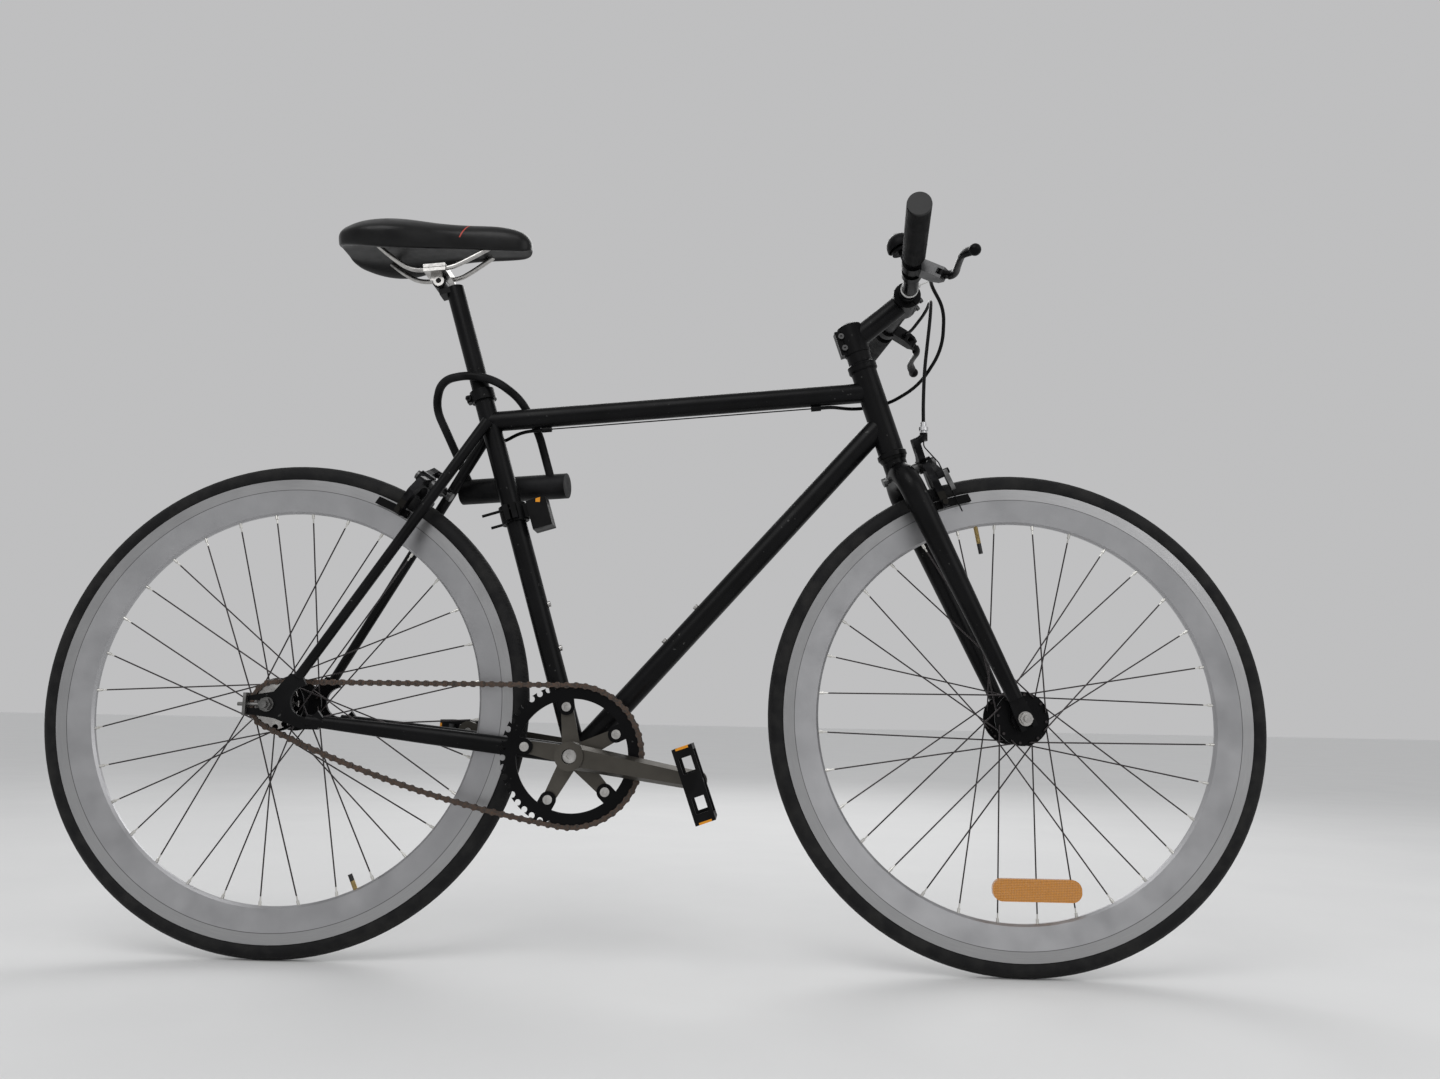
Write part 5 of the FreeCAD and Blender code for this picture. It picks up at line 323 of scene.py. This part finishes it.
def rusty_chain(name):
    """A dry chain: brown rust over worn steel."""
    graph = Graph(name)
    rust = graph.spread(graph.noise(300.0, 5.0), 0.38, 0.62)
    brown = graph.mix(graph.noise(900.0, 3.0), rgb(0.05, 0.029, 0.019), rgb(0.105, 0.063, 0.042))
    graph.base(graph.mix(rust, rgb(0.055, 0.048, 0.043), brown))
    graph.feed(graph.shader.inputs["Metallic"], graph.spread(rust, 0.0, 1.0, 0.7, 0.15))
    graph.rough(graph.spread(rust, 0.0, 1.0, 0.42, 0.8))
    graph.bump(graph.noise(2000.0, 3.0), 0.0001)
    return graph.material


PLUG_THICKNESS = 0.0042
PLUG_EDGE = 0.0004
GRIP_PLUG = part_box("grips")[1].y - PLUG_THICKNESS
GRIP_RIBS = 2300.0


def grip_rubber(name):
    """Ribbed rubber grips with greyer end plugs."""
    graph = Graph(name, Specular_IOR_Level=DULL_SHINE)
    _, across, _ = graph.apart()
    plug = graph.spread(graph.math("ABSOLUTE", across), GRIP_PLUG - PLUG_EDGE, GRIP_PLUG)
    dust = graph.spread(graph.noise(50.0, 5.0), 0.4, 0.7)
    rubber = graph.mix(dust, BLACK, CHARCOAL)
    graph.base(graph.mix(plug, rubber, rgb(0.045, 0.045, 0.045)))
    graph.rough(graph.spread(dust, 0.0, 1.0, 0.55, 0.75))
    ribs = graph.math("SINE", graph.math("MULTIPLY", across, GRIP_RIBS))
    graph.bump(graph.math("MULTIPLY", ribs, graph.math("SUBTRACT", 1.0, plug)), 0.0003)
    return graph.material


PRISM_PITCH = 1500.0


def amber_plastic(name):
    """Moulded reflector with small prisms behind a clear face; its amber is painted lighter and darker cell by
    cell as painted glints of the prisms.
    """
    graph = Graph(name, Coat_Weight=0.6, Coat_Roughness=0.08)
    x, _, z = graph.apart()
    ribs = graph.math("SINE", graph.math("MULTIPLY", graph.math("ADD", x, z), PRISM_PITCH))
    cross = graph.math("SINE", graph.math("MULTIPLY", graph.math("SUBTRACT", x, z), PRISM_PITCH))
    prism_relief_and_glints = graph.math("MULTIPLY", ribs, cross)
    # Painted glints: the amber turns lighter and darker across the prism cells, and the same pattern also gives
    # the prisms' relief.
    graph.base(graph.mix(graph.spread(prism_relief_and_glints, -1.0, 1.0), rgb(0.34, 0.12, 0.006), rgb(0.62, 0.25, 0.015)))
    graph.rough(graph.spread(graph.noise(90.0, 3.0), 0.3, 0.7, 0.18, 0.32))
    graph.bump(prism_relief_and_glints, 0.0004)
    return graph.material


SADDLE_LOW, SADDLE_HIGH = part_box("saddle")
STRIPE_BACK = 0.088
STRIPE_SLANT = 0.4
STRIPE_HALF = 0.0011
STRIPE_HEIGHT = 0.030
STRIPE_FLOOR = SADDLE_LOW.z + STRIPE_HEIGHT


def saddle_leather(name):
    """Satin black cover with a fine grain and one thin red line over the nose."""
    graph = Graph(name, Specular_IOR_Level=0.25)
    x, _, z = graph.apart()
    below = graph.math("SUBTRACT", SADDLE_HIGH.z, z)
    forward = graph.math("ADD", x, graph.math("MULTIPLY", below, STRIPE_SLANT))
    far = graph.math("ABSOLUTE", graph.math("SUBTRACT", forward, SADDLE_HIGH.x - STRIPE_BACK))
    line = graph.spread(far, STRIPE_HALF * 0.7, STRIPE_HALF, 1.0, 0.0)
    stripe = graph.math("MULTIPLY", line, graph.math("GREATER_THAN", z, STRIPE_FLOOR))
    dust = graph.spread(graph.noise(24.0, 5.0), 0.42, 0.75)
    cover = graph.mix(dust, BLACK, rgb(0.006, 0.006, 0.0063))
    graph.base(graph.mix(stripe, cover, rgb(0.38, 0.05, 0.035)))
    graph.rough(graph.spread(graph.noise(70.0, 4.0), 0.3, 0.7, 0.28, 0.4))
    graph.bump(graph.cells(900.0), 0.00008)
    return graph.material


AMBER = rgb(0.6, 0.24, 0.02)
RIGHT_PEDAL_TILT = 70.4
LEFT_PEDAL_TILT = 3.0
PEDAL_PLATE_FACE = 0.0452
PEDAL_PLATE_HALF = 0.0081


def pedal_plastic(name, joint, tilt_degrees):
    """Black cage with an amber plate set into each of its two end bars."""
    graph = Graph(name, Specular_IOR_Level=DULL_SHINE)
    x, _, z = graph.apart(graph.shifted(joint_place(joint)))
    tilt = math.radians(tilt_degrees)
    across_way = (graph.math("MULTIPLY", x, math.cos(tilt)), graph.math("MULTIPLY", z, math.sin(tilt)))
    upright_way = (graph.math("MULTIPLY", x, math.sin(tilt)), graph.math("MULTIPLY", z, math.cos(tilt)))
    along = graph.math("SUBTRACT", *across_way)
    upward = graph.math("ADD", *upright_way)
    at_end = graph.math("GREATER_THAN", graph.math("ABSOLUTE", along), PEDAL_PLATE_FACE)
    in_height = graph.math("LESS_THAN", graph.math("ABSOLUTE", upward), PEDAL_PLATE_HALF)
    plate = graph.math("MULTIPLY", at_end, in_height)
    dust = graph.spread(graph.noise(40.0, 5.0), 0.4, 0.7)
    graph.base(graph.mix(plate, graph.mix(dust, BLACK, CHARCOAL), AMBER))
    graph.rough(graph.spread(dust, 0.0, 1.0, 0.42, 0.6))
    graph.bump(graph.cells(1200.0), 0.00006)
    return graph.material


TAB_HEIGHT = 0.009
TAB_START = 0.745
TAB_END = 0.81


def bracket_plastic(name):
    """Black lock holder with an orange release tab at its top."""
    graph = Graph(name, Specular_IOR_Level=DULL_SHINE)
    low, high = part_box("lock_bracket")
    x, _, z = graph.apart()
    share = graph.spread(x, low.x, high.x)
    between = graph.math("MULTIPLY", graph.math("GREATER_THAN", share, TAB_START),
                         graph.math("LESS_THAN", share, TAB_END))
    tab = graph.math("MULTIPLY", graph.math("GREATER_THAN", z, high.z - TAB_HEIGHT), between)
    dust = graph.spread(graph.noise(40.0, 5.0), 0.4, 0.7)
    graph.base(graph.mix(tab, graph.mix(dust, BLACK, CHARCOAL), AMBER))
    graph.rough(graph.spread(dust, 0.0, 1.0, 0.42, 0.6))
    graph.bump(graph.cells(1200.0), 0.00006)
    return graph.material


SHOE_FACE = 0.0217
SHOE_NUT_FACE = 0.0353
SHOE_REACH = 0.325
SHOE_NUT = rgb(0.02, 0.019, 0.017)
SILVER = rgb(0.55, 0.55, 0.56)
NO_BARREL = 10.0
BARREL_HEIGHT = 0.0155
FRONT_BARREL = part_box("front_brake_arm_right")[1].z - BARREL_HEIGHT


def brake_alloy(name, hub, silver_above=NO_BARREL):
    """Black brake arm with rubber shoes, dark nuts outside them and a silver adjuster on top."""
    graph = Graph(name, Specular_IOR_Level=DULL_SHINE)
    radius, _ = graph.wheel(hub)
    _, across, height = graph.apart()
    aside = graph.math("ABSOLUTE", across)
    barrel = graph.math("GREATER_THAN", height, silver_above)
    near_rim = graph.math("LESS_THAN", radius, SHOE_REACH)
    shoe = graph.math("MULTIPLY", near_rim, graph.math("LESS_THAN", aside, SHOE_FACE))
    nut = graph.math("MULTIPLY", near_rim, graph.math("GREATER_THAN", aside, SHOE_NUT_FACE))
    wear = graph.spread(graph.noise(90.0, 5.0), 0.4, 0.7)
    arm = graph.mix(wear, rgb(0.004, 0.004, 0.0045), rgb(0.014, 0.014, 0.015))
    dark_parts = graph.mix(nut, graph.mix(shoe, arm, BLACK), SHOE_NUT)
    graph.base(graph.mix(barrel, dark_parts, SILVER))
    shine = graph.math("SUBTRACT", 0.5, graph.math("MULTIPLY", shoe, 0.5))
    bare = graph.math("MAXIMUM", nut, barrel)
    graph.feed(graph.shader.inputs["Metallic"], graph.math("MAXIMUM", shine, bare))
    worn = graph.spread(wear, 0.0, 1.0, 0.32, 0.46)
    graph.rough(graph.math("ADD", worn, graph.math("MULTIPLY", shoe, 0.3)))
    graph.bump(graph.noise(1100.0, 2.0), 0.00006)
    return graph.material


BAR_PLACE = (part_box("handlebar")[0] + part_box("handlebar")[1]) / 2
LEVER_BODY_AHEAD = 0.013
LEVER_BODY_START = BAR_PLACE.x + LEVER_BODY_AHEAD


def lever_body(name):
    """Black lever clamps; the right one's body ahead of the bar is silver grey."""
    graph = Graph(name, Specular_IOR_Level=DULL_SHINE)
    x, across, _ = graph.apart()
    right = graph.math("LESS_THAN", across, 0.0)
    body = graph.math("MULTIPLY", right, graph.math("GREATER_THAN", x, LEVER_BODY_START))
    wear = graph.spread(graph.noise(70.0, 5.0), 0.4, 0.7)
    graph.base(graph.mix(body, graph.mix(wear, BLACK, CHARCOAL), rgb(0.13, 0.13, 0.132)))
    graph.feed(graph.shader.inputs["Metallic"], body)
    graph.rough(graph.spread(wear, 0.0, 1.0, 0.36, 0.5))
    graph.bump(graph.noise(1100.0, 2.0), 0.00005)
    return graph.material


FRONT_CAP_RADIUS = 0.2455
REAR_CAP_RADIUS = 0.2575
STEM_REACH = 0.04
VALVE_THREADS = 7800.0


def valve_metal(name, hub, cap_radius):
    """Brass valve stem with a black cap on its free end; the tube inside the tyre is rubber."""
    graph = Graph(name)
    radius, _ = graph.wheel(hub)
    stem = graph.math("LESS_THAN", radius, RIM_NOSE_RADIUS + STEM_REACH)
    cap = graph.math("LESS_THAN", radius, cap_radius)
    brass = graph.math("SUBTRACT", stem, cap)
    thread = graph.math("SINE", graph.math("MULTIPLY", radius, VALVE_THREADS))
    wear = graph.noise(400.0, 3.0)
    metal = graph.mix(wear, BRASS, rgb(0.55, 0.42, 0.2))
    graph.base(graph.mix(brass, graph.mix(wear, BLACK, CHARCOAL), metal))
    graph.feed(graph.shader.inputs["Metallic"], brass)
    graph.rough(graph.spread(wear, 0.3, 0.7, 0.34, 0.5))
    graph.bump(graph.math("MULTIPLY", thread, brass), 0.0002)
    return graph.material


# One material for each finish that the record names, and some nodes' own
SLOT_MATERIALS = {
    "black_paint": worn_paint("frame_paint", BLACK, CHARCOAL),
    "black_alloy": worn_paint("black_anodised", rgb(0.003, 0.003, 0.0033), CHARCOAL, (0.3, 0.48), 0.4),
    "grey_alloy": worn_paint(
        "crank_bronze", rgb(0.055, 0.051, 0.044), rgb(0.09, 0.083, 0.072), (0.34, 0.5), 0.8
    ),
    "silver_alloy": bare_metal("silver_alloy", rgb(0.5, 0.5, 0.51), rgb(0.68, 0.68, 0.69)),
    "steel": bare_metal("steel", rgb(0.36, 0.35, 0.34), rgb(0.58, 0.57, 0.55)),
    "worn_chain": rusty_chain("rusty_chain"),
    "grip_rubber": grip_rubber("grip_rubber"),
    "cable_cover": moulded("cable_cover", BLACK, CHARCOAL, (0.28, 0.4), 500.0, 0.00002),
    "black_plastic": moulded("black_plastic", BLACK, CHARCOAL),
    "lock_cover": moulded("lock_cover", BLACK, rgb(0.014, 0.014, 0.015), (0.38, 0.55)),
    "tube_rubber": moulded("tube_rubber", BLACK, CHARCOAL),
    "amber": amber_plastic("amber_reflector"),
    "saddle_cover": saddle_leather("saddle_leather"),
}
DARK_STEEL = (rgb(0.09, 0.09, 0.09), rgb(0.2, 0.2, 0.2), (0.36, 0.5))
NODE_MATERIALS = {
    "front_rim": rim_metal("front_rim_metal", FRONT_HUB),
    "rear_rim": rim_metal("rear_rim_metal", REAR_HUB),
    "front_tyre": tyre_rubber("front_tyre_rubber", FRONT_HUB),
    "rear_tyre": tyre_rubber("rear_tyre_rubber", REAR_HUB),
    "front_spokes": spoke_metal("front_spoke_metal", FRONT_HUB),
    "rear_spokes": spoke_metal("rear_spoke_metal", REAR_HUB),
    "right_pedal": pedal_plastic("right_pedal_plastic", "right_pedal_spin", RIGHT_PEDAL_TILT),
    "left_pedal": pedal_plastic("left_pedal_plastic", "left_pedal_spin", LEFT_PEDAL_TILT),
    "lock_bracket": bracket_plastic("lock_bracket_plastic"),
    "rear_axle": bare_metal("rear_axle_steel", rgb(0.13, 0.13, 0.125), rgb(0.26, 0.255, 0.25), (0.36, 0.5)),
    "stem_bolts": bare_metal("stem_bolt_steel", rgb(0.06, 0.06, 0.06), rgb(0.14, 0.14, 0.14), (0.34, 0.48)),
    "front_inner_tube": valve_metal("front_valve", FRONT_HUB, FRONT_CAP_RADIUS),
    "rear_inner_tube": valve_metal("rear_valve", REAR_HUB, REAR_CAP_RADIUS),
    "front_brake_arm_right": brake_alloy("front_right_arm_alloy", FRONT_HUB, FRONT_BARREL),
    "front_brake_arm_left": brake_alloy("front_left_arm_alloy", FRONT_HUB),
    "rear_brake_arm_right": brake_alloy("rear_right_arm_alloy", REAR_HUB),
    "rear_brake_arm_left": brake_alloy("rear_left_arm_alloy", REAR_HUB),
    "lever_brackets": lever_body("lever_body"),
    "front_brake_bolt": bare_metal("front_bolt_steel", *DARK_STEEL),
    "rear_brake_bolt": bare_metal("rear_bolt_steel", *DARK_STEEL),
    "front_brake_release": bare_metal("front_release_alloy", *DARK_STEEL),
    "rear_brake_release": bare_metal("rear_release_alloy", *DARK_STEEL),
}


def dress_cad_nodes():
    """Every carried-over node gets its own material, or its slot's."""
    for part in frame["record"]["subparts"]:
        thing = frame["nodes"][part["node"]]
        skin = NODE_MATERIALS.get(part["node"]) or SLOT_MATERIALS[part["material_slot"]]
        if not thing.material_slots:
            thing.data.materials.append(skin)
        for slot in thing.material_slots:
            slot.material = skin


def linked_piece(name, mesh, material):
    """Links a smooth mesh with one material."""
    piece = bpy.data.objects.new(name, mesh)
    bpy.context.scene.collection.objects.link(piece)
    mesh.materials.clear()
    mesh.materials.append(material)
    for face in mesh.polygons:
        face.use_smooth = True
    return piece


def new_piece(name, mesh, body, material):
    """Links a mesh as a piece that moves with a body."""
    piece = linked_piece(name, mesh, material)
    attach(piece, body)
    return piece


def ring_mesh(name, rings, looped=False):
    """A closed skin through rings of points: its two ends are capped, or joined where it is looped."""
    mesh = bpy.data.meshes.new(name)
    built = bmesh.new()
    rows = [[built.verts.new(point) for point in ring] for ring in rings]
    count = len(rows[0])
    following = rows[1:] + rows[:1] if looped else rows[1:]
    for row, after in zip(rows, following):
        for i in range(count):
            built.faces.new((row[i], after[i], after[(i + 1) % count], row[(i + 1) % count]))
    if not looped:
        built.faces.new(rows[0])
        built.faces.new(list(reversed(rows[-1])))
    bmesh.ops.recalc_face_normals(built, faces=built.faces)
    built.to_mesh(mesh)
    built.free()
    return mesh


# Saddle: distance back from the nose, half width, crown, edge and underside heights, in millimetres
SADDLE_STATIONS = (
    (1, 6, 49, 44, 39),
    (5, 14, 58, 46, 34),
    (12, 17.5, 64, 48, 32),
    (19, 20, 68, 50, 31),
    (47, 24, 75, 54, 30),
    (97, 29, 74, 52, 30),
    (142, 43, 76, 50, 25),
    (172, 60, 79, 47, 18),
    (207, 72, 80, 44, 15),
    (242, 70, 76, 42, 19),
    (262, 58, 69, 42, 24),
    (270, 52, 66, 42, 26),
    (277, 38, 59, 43, 30),
    (280, 29, 54, 44, 33),
)
LOWEST_UNDERSIDE = 15
HOLLOW_ROOF = 33
HOLLOW_SHARE = 0.74
DRAWN_IN = 0.12
CROWN_POINTS = 15
ROOF_COVER = 6
SMOOTH_LEVELS = 2


def saddle_ring(back, half, crown, edge, under):
    """One cross-section: crowned top, drawn-in side, rolled lip, and a hollow under the wings."""
    origin = Vector((
        SADDLE_HIGH.x - back * MILLIMETRE, 0, SADDLE_LOW.z - LOWEST_UNDERSIDE * MILLIMETRE,
    ))
    rise = crown - edge
    radius = (half * half + rise * rise) / (2 * rise)
    spread = math.asin(min(half / radius, 1))
    if rise > half:
        spread = math.pi - spread
    flat = []
    for i in range(CROWN_POINTS):
        turn = spread * (1 - 2 * i / (CROWN_POINTS - 1))
        flat.append((radius * math.sin(turn), crown - radius + radius * math.cos(turn)))
    inset = half * (1 - DRAWN_IN)
    wall = inset * HOLLOW_SHARE
    roof = max(min(HOLLOW_ROOF, edge - ROOF_COVER), under)
    low = [
        (-half * 0.985, edge - (edge - under) * 0.35), (-inset * 1.03, under + (edge - under) * 0.12),
        (-inset * 0.95, under), (-wall, under + (roof - under) * 0.3),
        (-wall * 0.8, roof), (-wall * 0.3, roof),
    ]
    flat += low + [(-y, z) for y, z in reversed(low)]
    return [origin + Vector((0, y, z)) * MILLIMETRE for y, z in flat]


def add_saddle():
    mesh = ring_mesh("saddle_cover", [saddle_ring(*station) for station in SADDLE_STATIONS])
    piece = new_piece("saddle_cover", mesh, "seat", SLOT_MATERIALS["saddle_cover"])
    smooth = piece.modifiers.new("smooth", "SUBSURF")
    smooth.levels = SMOOTH_LEVELS
    smooth.render_levels = SMOOTH_LEVELS
    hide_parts("saddle")


# Rear cable: the record's hose, with its long runs between the top tube's guide and the turning bar split into
# shorter edges
HOSE_HELD = (0.300, 0.0225, 0.779)
HOSE_STEP = 0.010
HOSE_SPLITS = 5


def bends_there(edge):
    return max(vert.co.x for vert in edge.verts) > HOSE_HELD[0]


def split_long_edges(mesh):
    """Splits a mesh's long straight runs into shorter edges."""
    built = bmesh.new()
    built.from_mesh(mesh)
    for _ in range(HOSE_SPLITS):
        bmesh.ops.triangulate(built, faces=built.faces)
        long_edges = [edge for edge in built.edges if edge.calc_length() > HOSE_STEP and bends_there(edge)]
        bmesh.ops.subdivide_edges(built, edges=long_edges, cuts=1)
    bmesh.ops.triangulate(built, faces=built.faces)
    built.to_mesh(mesh)
    built.free()


def add_rear_cable():
    mesh = frame["nodes"]["rear_brake_cable"].data.copy()
    mesh.name = "rear_cable_hose"
    split_long_edges(mesh)
    piece = linked_piece("rear_cable_hose", mesh, SLOT_MATERIALS["cable_cover"])
    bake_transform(piece)
    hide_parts("rear_brake_cable")


# Cable tie on the bar: a band, and a head whose free tail stands forward
TIE_CENTRE = Vector((0.3575, -0.043, 0.9367))
TIE_INNER = 0.01115
TIE_OUTER = 0.0124
TIE_HALF_WIDTH = 0.0018
TIE_POINTS = 48
TAIL_WAY = Vector((0.92, 0.0, 0.392))
TAIL_UP = Vector((-0.392, 0.0, 0.92))
TAIL_CURL = 1.6
TAIL_STATIONS = (
    (0.0118, 0.0024, 0.0026), (0.0163, 0.0024, 0.0026), (0.0166, 0.0006, 0.0016), (0.026, 0.0006, 0.0016),
    (0.036, 0.0006, 0.0016), (0.046, 0.0006, 0.0015), (0.056, 0.0005, 0.0013), (0.064, 0.0004, 0.001),
)


def tie_nylon(name):
    """Milky nylon, a little yellowed in places."""
    graph = Graph(name, Specular_IOR_Level=0.4)
    graph.base(graph.mix(graph.noise(300.0, 3.0), rgb(0.5, 0.5, 0.49), rgb(0.66, 0.66, 0.64)))
    graph.rough(graph.spread(graph.noise(500.0, 3.0), 0.3, 0.7, 0.3, 0.45))
    graph.bump(graph.noise(1800.0, 2.0), 0.00004)
    return graph.material


def add_cable_tie():
    nylon = tie_nylon("tie_nylon")
    edges = ((TIE_INNER, -1), (TIE_OUTER, -1), (TIE_OUTER, 1), (TIE_INNER, 1))
    band = []
    for i in range(TIE_POINTS):
        angle = 2 * math.pi * i / TIE_POINTS
        out = Vector((math.cos(angle), 0.0, math.sin(angle)))
        aside = Vector((0.0, TIE_HALF_WIDTH, 0.0))
        band.append([TIE_CENTRE + out * radius + aside * side for radius, side in edges])
    new_piece("tie_band", ring_mesh("tie_band", band, True), "steering", nylon)
    tail = []
    for reach, half_height, half_width in TAIL_STATIONS:
        curl = TAIL_CURL * (reach - TAIL_STATIONS[0][0]) ** 2
        middle = TIE_CENTRE + TAIL_WAY * reach + TAIL_UP * curl
        rise = TAIL_UP * half_height
        aside = Vector((0.0, half_width, 0.0))
        low = middle - rise
        high = middle + rise
        tail.append([low - aside, high - aside, high + aside, low + aside])
    new_piece("tie_tail", ring_mesh("tie_tail", tail), "steering", nylon)


# Floor, light and sky
FLOOR_HALF = 30.0


def add_floor():
    mesh = bpy.data.meshes.new("floor")
    corners = [(x * FLOOR_HALF, y * FLOOR_HALF, 0) for x, y in ((-1, -1), (1, -1), (1, 1), (-1, 1))]
    mesh.from_pydata(corners, [], [(0, 1, 2, 3)])
    floor = bpy.data.objects.new("floor", mesh)
    bpy.context.scene.collection.objects.link(floor)
    graph = Graph("floor_paint")
    graph.base(graph.mix(graph.noise(3.0, 4.0), rgb(0.6, 0.6, 0.6), rgb(0.65, 0.65, 0.645)))
    graph.rough(graph.spread(graph.noise(8.0), 0.3, 0.7, 0.7, 0.85))
    mesh.materials.append(graph.material)


LAMP_AIM = (0, 0, 0.5)
LAMPS = (
    ("key", (-0.8, -2.4, 3.0), 2.4, 42),
    ("fill", (2.0, -2.0, 1.6), 2.0, 14),
    ("back", (0.3, 2.6, 2.6), 2.4, 34),
)


def add_lamp(name, place, size, power):
    data = bpy.data.lights.new(name, "AREA")
    data.shape = "DISK"
    data.size = size
    data.energy = power
    lamp = bpy.data.objects.new(name, data)
    lamp.location = place
    lamp.rotation_euler = (Vector(LAMP_AIM) - Vector(place)).to_track_quat("-Z", "Y").to_euler()
    bpy.context.scene.collection.objects.link(lamp)


SKY_SEEN = rgb(0.52, 0.52, 0.525)
SKY_LIGHT = rgb(0.72, 0.725, 0.735)


def sky_colour(tree):
    """One pale sky for what is seen and mirrored, and another level for the light that it gives."""
    path = tree.nodes.new("ShaderNodeLightPath")
    seen = path.outputs["Is Camera Ray"]
    for ray in ("Is Glossy Ray", "Is Transmission Ray"):
        either = tree.nodes.new("ShaderNodeMath")
        either.operation = "MAXIMUM"
        tree.links.new(seen, either.inputs[0])
        tree.links.new(path.outputs[ray], either.inputs[1])
        seen = either.outputs[0]
    colour = tree.nodes.new("ShaderNodeMix")
    colour.data_type = "RGBA"
    tree.links.new(seen, colour.inputs[MIX_AMOUNT])
    colour.inputs[MIX_FIRST].default_value = SKY_LIGHT
    colour.inputs[MIX_SECOND].default_value = SKY_SEEN
    return colour.outputs[MIX_RESULT]


def add_light():
    """Soft light from above on both sides, and a pale sky."""
    for lamp in LAMPS:
        add_lamp(*lamp)
    world = bpy.data.worlds.new("sky")
    world.use_nodes = True
    shade = world.node_tree.nodes["Background"]
    world.node_tree.links.new(sky_colour(world.node_tree), shade.inputs["Color"])
    shade.inputs["Strength"].default_value = 1.0
    bpy.context.scene.world = world


add_camera()
dress_cad_nodes()
add_saddle()
add_rear_cable()
add_cable_tie()
add_floor()
add_light()
bpy.context.scene.view_settings.view_transform = "Standard"
